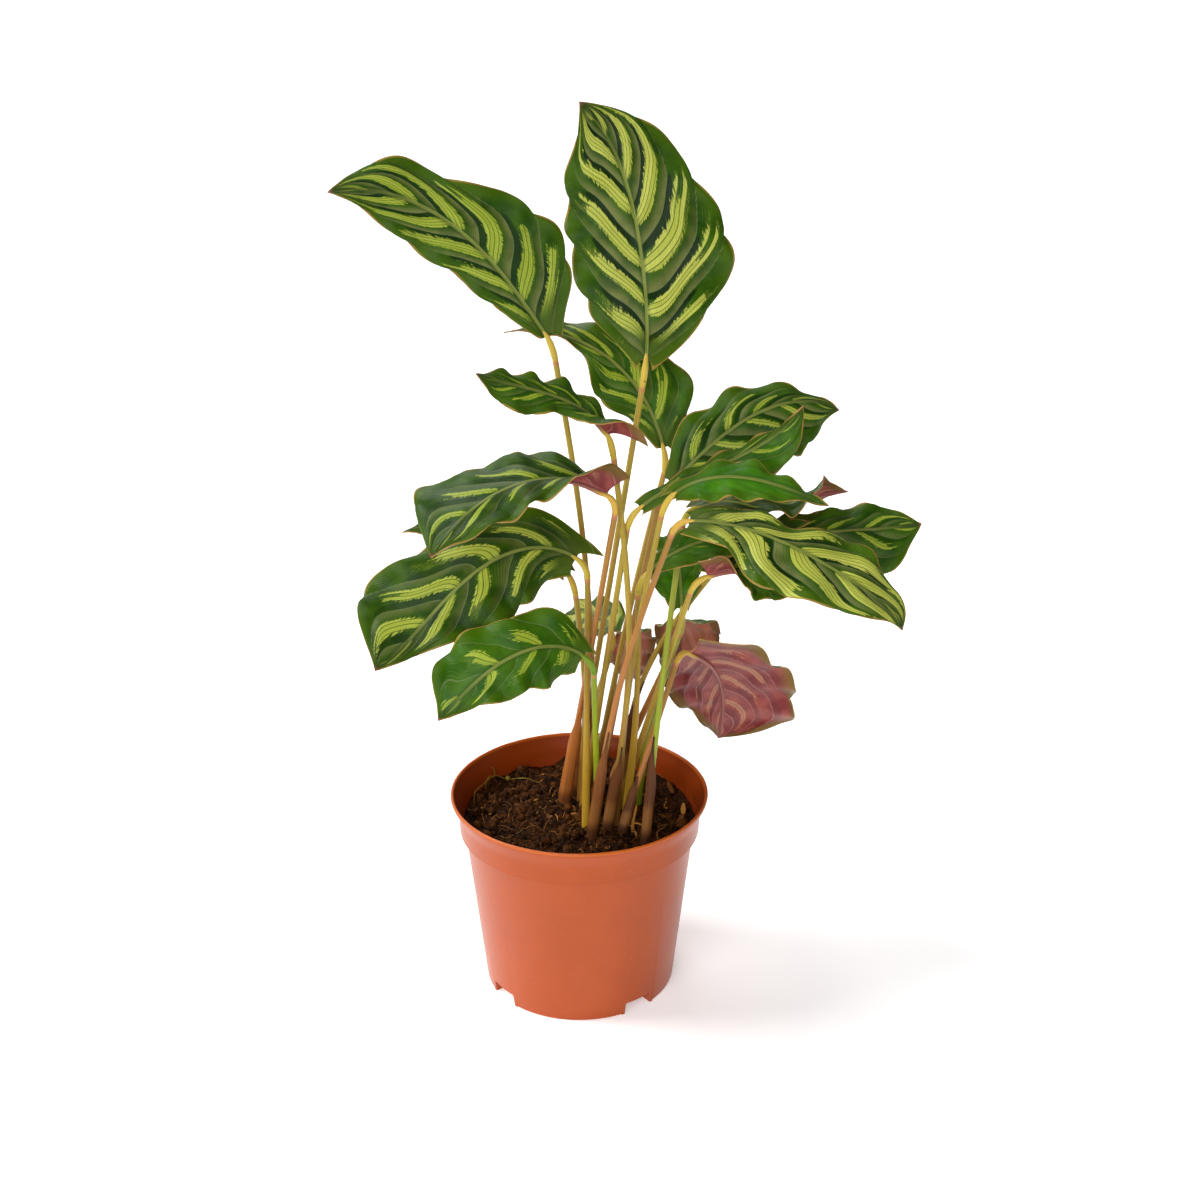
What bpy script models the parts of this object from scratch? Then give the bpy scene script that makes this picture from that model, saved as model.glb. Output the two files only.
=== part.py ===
"""Potted peacock plant: a terracotta-coloured nursery pot full of soil, with 21 waved leaves.

Units are metres with +Z up. The origin is on the pot's axis, on the surface that the pot stands on.
The front of the plant faces -Y. Each leaf is a blade and a petiole; papery sheaths wrap some petioles.
Right and left halves of a blade are those of someone looking from its base to its tip, top face up.
"""
import math

import bmesh
import bpy
import numpy as np
from mathutils import Matrix, Vector, noise

MM = 0.001
CLEARANCE = 0.3 * MM
SOIL_TO_WALL = 0.36 * MM

# Pot: heights above the ground and outer radii
POT_HEIGHT = 97 * MM
POT_WALL = 1.5 * MM
FOOT_RADIUS = 45 * MM
BODY_TOP_RADIUS = 53.5 * MM
COLLAR_BOTTOM_HEIGHT = 78.5 * MM
COLLAR_RADIUS = 56 * MM
FLARE_HEIGHT = 88 * MM
RIM_RADIUS = 60 * MM
EDGE_ROUNDING = 0.5 * MM
POT_SIDES = 36

# Drain channels that rise into the pot's floor and open at its foot
CHANNEL_DIRECTIONS = (-53, -143, 37, 127)
CHANNEL_WIDTH = 15 * MM
CHANNEL_HEIGHT = 6 * MM
CHANNEL_START = 14 * MM
DRAIN_RADIUS = 3.5 * MM
DRAIN_DISTANCE = 27 * MM

# Soil
SOIL_LEVEL = 82 * MM
SOIL_RINGS = 6
SOIL_SIDES = POT_SIDES
CLOD_HEIGHT = 1.6 * MM
CLOD_SIZE = 8 * MM

# Petioles: they stand upright in holes in the soil and lean from just above it. The last points of
# each run through its swollen joint below the blade.
HOLE_SIDES = 10
ROOT_DEPTH = 14 * MM
UPRIGHT_ABOVE_SOIL = 3 * MM
FOOT_THICKNESS = 4.0 * MM
STALK_THICKNESS = 2.6 * MM
FOOT_LENGTH = 70 * MM
JOINT_LENGTH = 13 * MM
JOINT_THICKNESS = 3.3 * MM
JOINT_SWELL = (0.7, 1.0, 0.9, 0.4, -0.9)
BLADE_GAP = 0.7 * MM

# Blades
BLADE_THICKNESS = 0.7 * MM
CUP_DEGREES = -14
WAVE_HEIGHT = 2.0 * MM
WAVES_PER_SIDE = 4.5
LOBE_REACH = 0.25
ROWS = 12
COLUMNS = 6

# Sheaths
SHEATH_THICKNESS = 0.7 * MM
SHEATH_ROOM = 0.66 * MM
SHEATH_ROWS = 7
SHEATH_COLUMNS = 5
SHEATH_TAPER_START = 0.35
SHEATH_TIP_SHARE = 0.03

UP = (-90, 89)
TO_VIEWER = (-90, 16)


def leaf(foot, base, length, heading, pitch, facing, left, right, **more):
    """One leaf. Places, lengths and widths are in millimetres and directions in degrees.

    foot: x and y where the petiole leaves the soil; base: where the blade starts.
    heading: compass angle of the midrib from base to tip, counted from +X towards +Y.
    pitch: its rise at the base, middle and tip; droop: how much further the last bit bends down.
    facing: heading and rise that the top face turns to, at the base, middle and tip.
    left, right: half widths at the base and at each fifth of the length; the tip is a point.
    left_fold, right_fold: how far each half is folded up at the base, middle and tip.
    curl: the share of the length over which the fold at the base is undone.
    lobes: how far each half reaches back past the base, as a share of its width.
    bow: how far the petiole's middle is pushed along x and y.
    joint: length of the swollen joint below the blade, as a share of the usual one.
    stout: thickness of the petiole at its foot, as a share of the usual one.
    """
    values = dict(left_fold=(0, 0, 0), right_fold=(0, 0, 0), curl=0.3, lobes=(0.15, 0.15), droop=0,
                  bow=(0, 0), joint=1, stout=1, phase=0, foot=foot, base=base, length=length, heading=heading,
                  pitch=pitch, facing=facing, left=left, right=right)
    values.update(more)
    return values


def plain(width):
    """Half widths of an evenly rounded half."""
    return (0.3 * width, 0.85 * width, width, 0.86 * width, 0.55 * width)


LEAVES = (
    leaf((5.8, 22), (-13, 10, 309), 116, (-162, -171), (57, 41, -11), (TO_VIEWER, TO_VIEWER, (-90, 30)),
         (2, 11, 15, 17, 12), (6, 28, 27, 16, 15), phase=0.1, bow=(6, 0)),
    leaf((-2, 21), (29, 0, 301), 114, (79, 127, 178), (56, 72, 43), (TO_VIEWER, TO_VIEWER, (-80, 20)),
         (4, 24, 29, 28, 21), (2, 29, 39, 30, 20), stout=0.7),
    leaf((8, 29.5), (38, 22, 256), 98, (135, 178), (71, 31, -11), (TO_VIEWER, (-90, 50), (-90, 80)),
         (2, 11, 17, 5, 2), (4, 22, 19, 12, 12), bow=(-2, 0)),
    leaf((13, -13), (12.6, -9, 271), 66, (-159, -165), (60, 22, 24), ((-90, 60), (-90, 60), (-90, 50)),
         (15, 12, 6, 11, 9), (5, 10, 12, 9, 7), left_fold=(110, -20, -20), curl=0.4, lobes=(0.7, 0.1),
         bow=(8, -4), stout=0.75),
    leaf((-7, 15), (12, -19, 247.5), 92, (-157, -145), (39, -11, -51), ((-110, 70), (-130, 50), (-120, 40)),
         (12, 12, 12, 16, 10), (14, 24, 24, 24, 30), left_fold=(120, 0, 0), curl=0.4, lobes=(0.3, 0.1)),
    leaf((3, -8), (-1, -3, 213), 110, (-176, -132), (37, -35, -14), ((-90, 30), (-100, 30), (-100, 30)),
         (8, 20, 25, 20, 9), (8, 18, 23, 28, 31), lobes=(0.1, 0.35)),
    leaf((1, 14.5), (-5, 8, 202), 82, (168, 177), (54, 10, -20), ((-90, 60), (-90, 60), (-90, 60)),
         plain(12), plain(14), bow=(3, 0), stout=1.15),
    leaf((8.5, 3.5), (2, -28, 177), 76, (-162, -156), (43, -24, -41), ((-90, 30), (-100, 30), (-100, 30)),
         (8, 16, 17, 15, 8), (4, 16, 17, 20, 18), lobes=(0.1, 0.3), stout=0.75),
    leaf((8, 15), (41, 5, 245), 90, (25, 13), (38, 24, -31), ((-90, 30), (-90, 40), (-90, 40)),
         (4, 15, 16, 14, 6), (6, 16, 22, 24, 20), lobes=(0.05, 0.1)),
    leaf((17, -5), (41, -14, 246), 70, (-17, -9), (44, -6, -22), ((-90, 50), (-90, 50), (-90, 50)),
         (4, 5, 10, 7, 4), (3, 10, 10, 9, 4), lobes=(0.7, 0.1), bow=(-3, 0)),
    leaf((2, 7.5), (27, -8, 238), 84, (13, 9), (38, 21, 58), ((-90, 50), (-90, 50), (-90, 40)),
         (4, 4, 5, 5, 3), (3, 6, 10, 15, 12)),
    leaf((30, -25), (53, 12, 231), 79, (22, 25), (12, -7, 3), (UP, UP, (-90, 120)),
         plain(20), plain(18), right_fold=(0, 0, 100), bow=(-1, -2), stout=0.6),
    leaf((22, 28), (74, 20, 210.5), 84, (6, 5), (16, 1, 9), ((-90, 50), (-90, 50), (-90, 50)),
         (6, 10, 12, 13, 14), (6, 16, 20, 22, 20), bow=(-13, 0), stout=0.7),
    leaf((6, -18), (47, -26, 238), 104, (-23, -22), (9, -22, -30), ((-90, 50), (-80, 50), (-80, 50)),
         (5, 11, 10, 19, 14), (6, 12, 23, 18, 12), bow=(-5, 0), droop=40, stout=0.7),
    leaf((22, 0), (31, -5, 207), 78, (12, 11), (46, 6, 13), ((-90, 50), (-90, 60), (-90, 60)),
         (2, 7, 10, 11, 7), (2, 8, 10, 10, 4), bow=(2, 0)),
    leaf((28, 13), (47, 12, 183), 50, (95, 85), (60, 35, 0), (UP, UP, UP), plain(13), plain(10),
         bow=(-3, -2)),
    leaf((20, 11), (57, -5, 205), 46, (8, -5), (20, -15, -30), ((-90, 60), (-90, 60), (-90, 60)),
         plain(16), (10, 12, 14, 12, 8), right_fold=(110, 0, 0), curl=0.5),
    leaf((20, -15), (50.5, 12, 160.7), 94, (46, 100), (-25, -53, -62), ((80, 15), (90, 30), (90, 40)),
         (14, 22, 26, 22, 12), (14, 28, 33, 35, 32), lobes=(0.2, 0.3), stout=0.7),
    leaf((17, 36), (49, 33, 168), 66, (90, 90), (-8, -64, -46), (UP, (90, 40), (90, 40)),
         plain(12), plain(20), joint=1.4),
    leaf((6, 42), (27, 31, 164), 58, (88, 88), (-8, -60, -42), (UP, (90, 40), (90, 40)),
         (2, 7, 12, 13, 9), plain(9), joint=1.4),
    leaf((-3, 29), (15.5, 34, 162), 55, (101, 129), (5, -10, -30), ((-90, 50), (-90, 40), (-90, 40)),
         plain(17), plain(12)),
)

# Sheaths: leaf number, height above the soil, half angle that it wraps and the way its open side faces
SHEATHS = {5: (60, 150, 90), 14: (55, 140, 80), 4: (45, 130, 100), 18: (26, 140, 60),
           12: (50, 150, 60), 13: (60, 140, 90), 2: (50, 130, 120), 8: (22, 130, 60)}


def smooth(value):
    """0 below 0, 1 above 1, and an even S between."""
    value = np.clip(value, 0, 1)
    return value * value * (3 - 2 * value)


def direction(heading, rise):
    """Unit vectors for compass headings and rises in degrees."""
    heading, rise = np.radians(heading), np.radians(rise)
    return np.stack([np.cos(rise) * np.cos(heading), np.cos(rise) * np.sin(heading), np.sin(rise)], -1)


def bend(values, along):
    """The smooth curve through two or three values spread evenly along the leaf."""
    if len(values) == 2:
        return values[0] + (values[1] - values[0]) * along
    start, middle, end = values
    return (start * (1 - along) * (1 - 2 * along) + middle * 4 * along * (1 - along)
            + end * along * (2 * along - 1))


def midrib_direction(one, along):
    rise = bend(one["pitch"], along) - one["droop"] * smooth((along - 0.85) / 0.15)
    return direction(bend(one["heading"], along), rise)


def midrib(one, along, steps=120):
    """Points on the midrib, by walking along its direction in small steps."""
    middles = (np.arange(steps) + 0.5) / steps
    walk = np.cumsum(midrib_direction(one, middles) * one["length"] / steps, axis=0)
    walk = np.vstack([np.zeros(3), walk]) + np.array(one["base"])
    ends = np.linspace(0, 1, steps + 1)
    return np.stack([np.interp(along, ends, walk[:, axis]) for axis in range(3)], -1)


def top_normal(one, along, forward):
    """The way that the top face looks, square to the midrib."""
    at_base, at_middle, at_tip = (direction(*way) for way in one["facing"])
    first, second = smooth(2 * along)[:, None], smooth(2 * along - 1)[:, None]
    normal = at_base * (1 - first) + at_middle * (first - second) + at_tip * second
    normal = normal - forward * (normal * forward).sum(1)[:, None]
    return normal / np.linalg.norm(normal, axis=1)[:, None]


def half_width(widths, along):
    """A smooth curve through a half's widths at each fifth of the length, ending in a point."""
    knots = np.linspace(0, 1, 6)
    heights = np.array(tuple(widths) + (0,), dtype=float)
    slopes = np.gradient(heights, knots)
    slopes[-1] = min(slopes[-1], -4 * heights[-2])
    piece = np.clip((along / 0.2).astype(int), 0, 4)
    part = (along - knots[piece]) / 0.2
    return ((2 * part ** 3 - 3 * part ** 2 + 1) * heights[piece]
            + (part ** 3 - 2 * part ** 2 + part) * 0.2 * slopes[piece]
            + (3 * part ** 2 - 2 * part ** 3) * heights[piece + 1]
            + (part ** 3 - part ** 2) * 0.2 * slopes[piece + 1])


def blade_surface(one, along, across):
    """Points of a blade in millimetres; across runs from -1 at the left edge to 1 at the right."""
    forward = midrib_direction(one, along)
    up = top_normal(one, along, forward)
    right = np.cross(forward, up)
    is_right = across >= 0
    side = np.where(is_right, 1.0, -1.0)
    out = np.abs(across)
    width = np.where(is_right, half_width(one["right"], along), half_width(one["left"], along))
    widest = np.where(is_right, max(one["right"]), max(one["left"]))
    lobe = np.where(is_right, one["lobes"][1], one["lobes"][0])
    fold = np.zeros(len(along))
    for mask, folds in ((is_right, one["right_fold"]), (~is_right, one["left_fold"])):
        base, middle, tip = folds
        angle = middle + (base - middle) * (1 - smooth(along / one["curl"]))
        angle = angle + (tip - middle) * smooth(2 * along - 1)
        fold = np.where(mask, angle, fold)
    fold, cup = np.radians(fold), math.radians(CUP_DEGREES)
    sideways = width * (np.sin(fold + cup * out) - np.sin(fold)) / cup
    upward = width * (np.cos(fold) - np.cos(fold + cup * out)) / cup
    turns = WAVES_PER_SIDE * along + one["phase"] + np.where(is_right, 0.5, 0)
    wave = WAVE_HEIGHT / MM * out ** 1.6 * np.sin(2 * math.pi * turns) * np.sqrt(np.sin(math.pi * along))
    beside = np.clip((out * width - 2) / (np.maximum(width, 3) - 2), 0, 1)
    back = lobe * widest * np.clip(1 - along / LOBE_REACH, 0, 1) ** 2 * beside ** 1.5
    sideways = sideways - np.sin(fold + cup * out) * wave
    upward = upward + np.cos(fold + cup * out) * wave
    return (midrib(one, along) + right * (side * sideways)[:, None] + up * upward[:, None]
            - forward * back[:, None])


def petiole_route(one):
    """Centre points and thicknesses of a petiole, from its foot in the soil to the blade."""
    base = np.array(one["base"], dtype=float)
    forward = midrib_direction(one, np.array([0.0]))[0]
    soil = SOIL_LEVEL / MM
    foot = np.array([one["foot"][0], one["foot"][1], soil + UPRIGHT_ABOVE_SOIL / MM])
    half = 0.5 * JOINT_LENGTH / MM * one["joint"]
    elbow = base - forward * half
    stalk_end = elbow - (elbow - foot) / np.linalg.norm(elbow - foot) * half
    part = np.linspace(0, 1, 6)[:, None]
    push = np.array([one["bow"][0], one["bow"][1], 0.0])
    stalk = foot + (stalk_end - foot) * part + push * np.sin(math.pi * part)
    end = base - forward * BLADE_GAP / MM
    lead = stalk[-1] - stalk[-2]
    elbow = stalk[-1] + lead / np.linalg.norm(lead) * half
    turn = np.linspace(0, 1, len(JOINT_SWELL) + 1)[1:, None]
    joint = stalk[-1] * (1 - turn) ** 2 + 2 * elbow * turn * (1 - turn) + end * turn ** 2
    points = np.vstack([foot - (0, 0, (ROOT_DEPTH + UPRIGHT_ABOVE_SOIL) / MM), stalk, joint])
    risen = np.clip((points[:, 2] - foot[2]) / (FOOT_LENGTH / MM), 0, 1)
    at_foot = FOOT_THICKNESS * one["stout"]
    thickness = at_foot + (STALK_THICKNESS - at_foot) * smooth(risen)
    swell = np.zeros(len(points))
    swell[-len(JOINT_SWELL):] = JOINT_SWELL
    thickness = thickness + (JOINT_THICKNESS - STALK_THICKNESS) * swell
    return points * MM, thickness


def clear_scene():
    for item in list(bpy.data.objects):
        bpy.data.objects.remove(item)


def new_collection(name):
    collection = bpy.data.collections.new(name)
    bpy.context.scene.collection.children.link(collection)
    return collection


def make_material(name, colour, roughness):
    material = bpy.data.materials.new(name)
    material.use_nodes = True
    shader = material.node_tree.nodes["Principled BSDF"]
    shader.inputs["Base Color"].default_value = (*colour, 1)
    shader.inputs["Roughness"].default_value = roughness
    shader.inputs["Metallic"].default_value = 0
    return material


def mesh_object(name, bm, collection, material=None):
    mesh = bpy.data.meshes.new(name)
    bm.to_mesh(mesh)
    bm.free()
    item = bpy.data.objects.new(name, mesh)
    collection.objects.link(item)
    if material is not None:
        mesh.materials.append(material)
    return item


def turned(name, profile, collection, material, sides):
    """A profile of radius and height, from the top of its outer side down and back up inside."""
    bm = bmesh.new()
    corners = [bm.verts.new((radius, 0, height)) for radius, height in profile]
    for first, second in zip(corners[:-1], corners[1:]):
        bm.edges.new((first, second))
    item = mesh_object(name, bm, collection, material)
    screw = item.modifiers.new("turn", "SCREW")
    screw.steps = sides
    screw.render_steps = sides
    screw.use_merge_vertices = True
    screw.merge_threshold = 0.00005
    return item


def hide_cutter(item):
    item.hide_render = True
    item.display_type = "WIRE"


def boolean(item, other, operation):
    cut = item.modifiers.new(operation.lower(), "BOOLEAN")
    cut.operation = operation
    cut.object = other
    cut.solver = "EXACT"


def wall_inside(height):
    """Inner radius of the pot at a height."""
    heights = (POT_WALL, COLLAR_BOTTOM_HEIGHT - POT_WALL, COLLAR_BOTTOM_HEIGHT + POT_WALL, FLARE_HEIGHT,
               POT_HEIGHT)
    radii = (FOOT_RADIUS, BODY_TOP_RADIUS, COLLAR_RADIUS, COLLAR_RADIUS + 0.5 * MM, RIM_RADIUS)
    return float(np.interp(height, heights, radii)) - POT_WALL


def channel_block(name, width, height, start, end, collection):
    """Four bars that point outwards along the drain channels."""
    bm = bmesh.new()
    for degrees in CHANNEL_DIRECTIONS:
        box = Matrix.Diagonal((end - start, width, 2 * height, 1))
        place = Matrix.Rotation(math.radians(degrees), 4, "Z") @ Matrix.Translation(((start + end) / 2, 0, 0))
        bmesh.ops.create_cube(bm, size=1, matrix=place @ box)
    item = mesh_object(name, bm, collection)
    hide_cutter(item)
    return item


def make_pot(parts, cutters, material):
    rounding = EDGE_ROUNDING
    profile = [
        (RIM_RADIUS - rounding, POT_HEIGHT),
        (RIM_RADIUS, POT_HEIGHT - rounding),
        (RIM_RADIUS - 0.2 * MM, POT_HEIGHT - 3 * rounding),
        (COLLAR_RADIUS + 0.5 * MM, FLARE_HEIGHT),
        (COLLAR_RADIUS, COLLAR_BOTTOM_HEIGHT + rounding),
        (COLLAR_RADIUS - rounding, COLLAR_BOTTOM_HEIGHT),
        (BODY_TOP_RADIUS, COLLAR_BOTTOM_HEIGHT - rounding),
        (FOOT_RADIUS + rounding / 4, rounding),
        (FOOT_RADIUS - rounding, 0),
        (0, 0),
        (0, POT_WALL),
        (wall_inside(POT_WALL), POT_WALL),
        (wall_inside(COLLAR_BOTTOM_HEIGHT - POT_WALL), COLLAR_BOTTOM_HEIGHT - POT_WALL),
        (wall_inside(COLLAR_BOTTOM_HEIGHT + POT_WALL), COLLAR_BOTTOM_HEIGHT + POT_WALL),
        (wall_inside(FLARE_HEIGHT), FLARE_HEIGHT),
        (wall_inside(POT_HEIGHT), POT_HEIGHT - rounding / 2),
        (wall_inside(POT_HEIGHT) + rounding, POT_HEIGHT),
        (RIM_RADIUS - rounding, POT_HEIGHT),
    ]
    pot = turned("pot", profile, parts, material, POT_SIDES)
    cover_end = FOOT_RADIUS - POT_WALL / 2
    covers = channel_block("cutter.channel_covers", CHANNEL_WIDTH + 2 * POT_WALL, CHANNEL_HEIGHT + POT_WALL,
                           CHANNEL_START - POT_WALL, cover_end, cutters)
    hollows = channel_block("cutter.channel_hollows", CHANNEL_WIDTH, CHANNEL_HEIGHT, CHANNEL_START,
                            FOOT_RADIUS + 10 * MM, cutters)
    ground = bmesh.new()
    below = Matrix.Translation((0, 0, -10 * MM)) @ Matrix.Diagonal((0.3, 0.3, 20 * MM, 1))
    bmesh.ops.create_cube(ground, size=1, matrix=below)
    floor = mesh_object("cutter.below_ground", ground, cutters)
    hide_cutter(floor)
    holes = bmesh.new()
    for degrees in CHANNEL_DIRECTIONS:
        place = Matrix.Rotation(math.radians(degrees), 4, "Z") @ Matrix.Translation((DRAIN_DISTANCE, 0, 0))
        bmesh.ops.create_cone(holes, cap_ends=True, segments=16, radius1=DRAIN_RADIUS, radius2=DRAIN_RADIUS,
                              depth=40 * MM, matrix=place)
    drains = mesh_object("cutter.drains", holes, cutters)
    hide_cutter(drains)
    boolean(pot, covers, "UNION")
    boolean(pot, floor, "DIFFERENCE")
    boolean(pot, hollows, "DIFFERENCE")
    boolean(pot, drains, "DIFFERENCE")
    pot.data.shade_smooth()


def make_soil(parts, cutters, material):
    bottom = CHANNEL_HEIGHT + POT_WALL + CLEARANCE
    shelf = COLLAR_BOTTOM_HEIGHT + POT_WALL
    levels = [(wall_inside(height) - SOIL_TO_WALL, height) for height in (SOIL_LEVEL, shelf)]
    levels.append((wall_inside(COLLAR_BOTTOM_HEIGHT - POT_WALL) - SOIL_TO_WALL,
                   COLLAR_BOTTOM_HEIGHT - POT_WALL))
    levels.append((wall_inside(bottom) - SOIL_TO_WALL, bottom))
    bm = bmesh.new()
    rings = [(levels[0][0] * ring / SOIL_RINGS, SOIL_LEVEL) for ring in range(SOIL_RINGS)]
    profile = [bm.verts.new((radius, 0, height)) for radius, height in rings + levels + [(0, bottom)]]
    for first, second in zip(profile[:-1], profile[1:]):
        bm.edges.new((first, second))
    bmesh.ops.spin(bm, geom=bm.verts[:] + bm.edges[:], cent=(0, 0, 0), axis=(0, 0, 1),
                   angle=2 * math.pi, steps=SOIL_SIDES, use_merge=True)
    bmesh.ops.remove_doubles(bm, verts=bm.verts[:], dist=0.00001)
    for corner in bm.verts:
        if corner.co.z > SOIL_LEVEL - 0.1 * MM:
            coarse = noise.noise(corner.co / CLOD_SIZE)
            fine = noise.noise(corner.co / CLOD_SIZE * 2.3 + Vector((5, 0, 0)))
            corner.co.z += CLOD_HEIGHT * (coarse + 0.5 * fine)
    bmesh.ops.triangulate(bm, faces=bm.faces[:])
    bmesh.ops.recalc_face_normals(bm, faces=bm.faces[:])
    soil = mesh_object("soil", bm, parts, material)
    holes = bmesh.new()
    for number, one in enumerate(LEAVES, 1):
        radius = FOOT_THICKNESS * one["stout"] / 2 + CLEARANCE
        if number in SHEATHS:
            radius += SHEATH_ROOM + SHEATH_THICKNESS
        radius /= math.cos(math.pi / HOLE_SIDES)
        depth = ROOT_DEPTH + CLEARANCE + 10 * MM
        middle = SOIL_LEVEL + 10 * MM - depth / 2
        place = Matrix.Translation((one["foot"][0] * MM, one["foot"][1] * MM, middle))
        bmesh.ops.create_cone(holes, cap_ends=True, segments=HOLE_SIDES, radius1=radius, radius2=radius,
                              depth=depth, matrix=place)
    cutter = mesh_object("cutter.petiole_holes", holes, cutters)
    hide_cutter(cutter)
    boolean(soil, cutter, "DIFFERENCE")


def make_blade(number, one, parts, material):
    bm = bmesh.new()
    bmesh.ops.create_grid(bm, x_segments=ROWS, y_segments=COLUMNS, size=1)
    along = np.array([(corner.co.x + 1) / 2 for corner in bm.verts])
    across = np.array([corner.co.y for corner in bm.verts])
    for corner, place in zip(bm.verts, blade_surface(one, along, -across) * MM):
        corner.co = place
    bmesh.ops.remove_doubles(bm, verts=bm.verts[:], dist=0.00001)
    bmesh.ops.triangulate(bm, faces=bm.faces[:])
    blade = mesh_object(f"leaf_{number:02d}_blade", bm, parts, material)
    thicken = blade.modifiers.new("thickness", "SOLIDIFY")
    thicken.thickness = BLADE_THICKNESS
    thicken.offset = 0
    thicken.use_even_offset = False
    blade.data.shade_smooth()


def make_petiole(number, one, parts, material):
    points, thickness = petiole_route(one)
    curve = bpy.data.curves.new(f"leaf_{number:02d}_petiole", "CURVE")
    curve.dimensions = "3D"
    curve.bevel_depth = 1
    curve.bevel_resolution = 1
    curve.use_fill_caps = True
    spline = curve.splines.new("POLY")
    spline.points.add(len(points) - 1)
    for point, place, size in zip(spline.points, points, thickness):
        point.co = (*place, 1)
        point.radius = size / 2
    curve.materials.append(material)
    parts.objects.link(bpy.data.objects.new(curve.name, curve))


def make_sheath(number, one, values, parts, material):
    """A pointed leaf base that wraps round its petiole from below the soil's surface."""
    height, wrap, opening = values
    points, thickness = petiole_route(one)
    stalk = slice(0, -len(JOINT_SWELL))
    centres, thickness = points[stalk] / MM, thickness[stalk] / MM
    climb = centres[:, 2]
    forward = np.gradient(centres, climb, axis=0)
    bottom, top = climb[0] + 1, SOIL_LEVEL / MM + height
    bm = bmesh.new()
    bmesh.ops.create_grid(bm, x_segments=SHEATH_ROWS, y_segments=SHEATH_COLUMNS, size=1)
    for corner in bm.verts:
        up = (corner.co.x + 1) / 2
        here = float(np.interp(up, (0, 1 / SHEATH_ROWS, 1), (bottom, climb[1], top)))
        centre, lean = (Vector([float(np.interp(here, climb, values[:, axis])) for axis in range(3)])
                        for values in (centres, forward))
        radius = float(np.interp(here, climb, thickness)) / 2 + (SHEATH_ROOM + SHEATH_THICKNESS / 2) / MM
        narrowing = float(smooth((up - SHEATH_TAPER_START) / (1 - SHEATH_TAPER_START)))
        spread = math.radians(wrap) * (1 - narrowing * (1 - SHEATH_TIP_SHARE))
        angle = math.radians(opening + 180) + spread * corner.co.y
        outward = Vector((math.cos(angle), math.sin(angle), 0))
        outward -= lean * outward.dot(lean) / lean.length_squared
        corner.co = (centre + outward.normalized() * radius) * MM
    bmesh.ops.triangulate(bm, faces=bm.faces[:])
    sheath = mesh_object(f"leaf_{number:02d}_sheath", bm, parts, material)
    thicken = sheath.modifiers.new("thickness", "SOLIDIFY")
    thicken.thickness = SHEATH_THICKNESS
    thicken.offset = 0
    sheath.data.shade_smooth()


def build():
    clear_scene()
    parts = new_collection("potted peacock plant")
    cutters = new_collection("cutters")
    terracotta = make_material("terracotta plastic", (0.55, 0.15, 0.05), 0.45)
    peat = make_material("peat soil", (0.035, 0.02, 0.012), 0.95)
    green = make_material("leaf green", (0.08, 0.2, 0.03), 0.4)
    stalk = make_material("petiole green", (0.3, 0.25, 0.06), 0.45)
    papery = make_material("sheath brown", (0.25, 0.13, 0.06), 0.7)
    make_pot(parts, cutters, terracotta)
    make_soil(parts, cutters, peat)
    for number, one in enumerate(LEAVES, 1):
        make_blade(number, one, parts, green)
        make_petiole(number, one, parts, stalk)
        if number in SHEATHS:
            make_sheath(number, one, SHEATHS[number], parts, papery)


build()
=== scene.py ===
"""Looks of the potted peacock plant: a plastic nursery pot of peat, with 21 waved and banded leaves.

Everything is in the frame's metres, +Z up, with the front of the plant facing -Y. After the view, the
sections follow the plant as it is put together: pot, peat, what lies on it, the shapes of the leaves,
their stalks, sheaths and blades, and last the studio.
"""
import math

import bmesh
import bpy
import numpy as np
from mathutils import Matrix, Vector, noise


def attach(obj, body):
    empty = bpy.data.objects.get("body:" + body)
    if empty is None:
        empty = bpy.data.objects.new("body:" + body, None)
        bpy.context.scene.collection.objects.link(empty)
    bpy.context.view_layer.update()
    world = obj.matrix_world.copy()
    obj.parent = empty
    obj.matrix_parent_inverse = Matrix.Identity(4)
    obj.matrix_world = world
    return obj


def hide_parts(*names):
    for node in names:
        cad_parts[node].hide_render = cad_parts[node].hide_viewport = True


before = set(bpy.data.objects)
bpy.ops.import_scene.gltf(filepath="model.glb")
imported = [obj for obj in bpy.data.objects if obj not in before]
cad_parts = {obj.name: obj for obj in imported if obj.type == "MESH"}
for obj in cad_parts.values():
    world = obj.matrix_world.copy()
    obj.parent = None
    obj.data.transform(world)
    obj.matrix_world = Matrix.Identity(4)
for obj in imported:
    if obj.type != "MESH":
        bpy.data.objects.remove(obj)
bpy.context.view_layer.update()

# The view: the photograph looks slightly down on the plant from the front, from about 0.75 m away,
# with a normal lens whose axis is turned a little to the right of the pot.
MM = 0.001
LENS_LENGTH = 50
SENSOR_WIDTH = 36
VIEW_PLACE = (0, -690 * MM, 468 * MM)
VIEW_TILT = 68.2
VIEW_TURN = -0.8
lens = bpy.data.cameras.new("view")
lens.lens = LENS_LENGTH
lens.sensor_width = SENSOR_WIDTH
camera = bpy.data.objects.new("view", lens)
camera.location = VIEW_PLACE
camera.rotation_euler = (math.radians(VIEW_TILT), 0, math.radians(VIEW_TURN))
bpy.context.scene.collection.objects.link(camera)
bpy.context.scene.camera = camera

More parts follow.
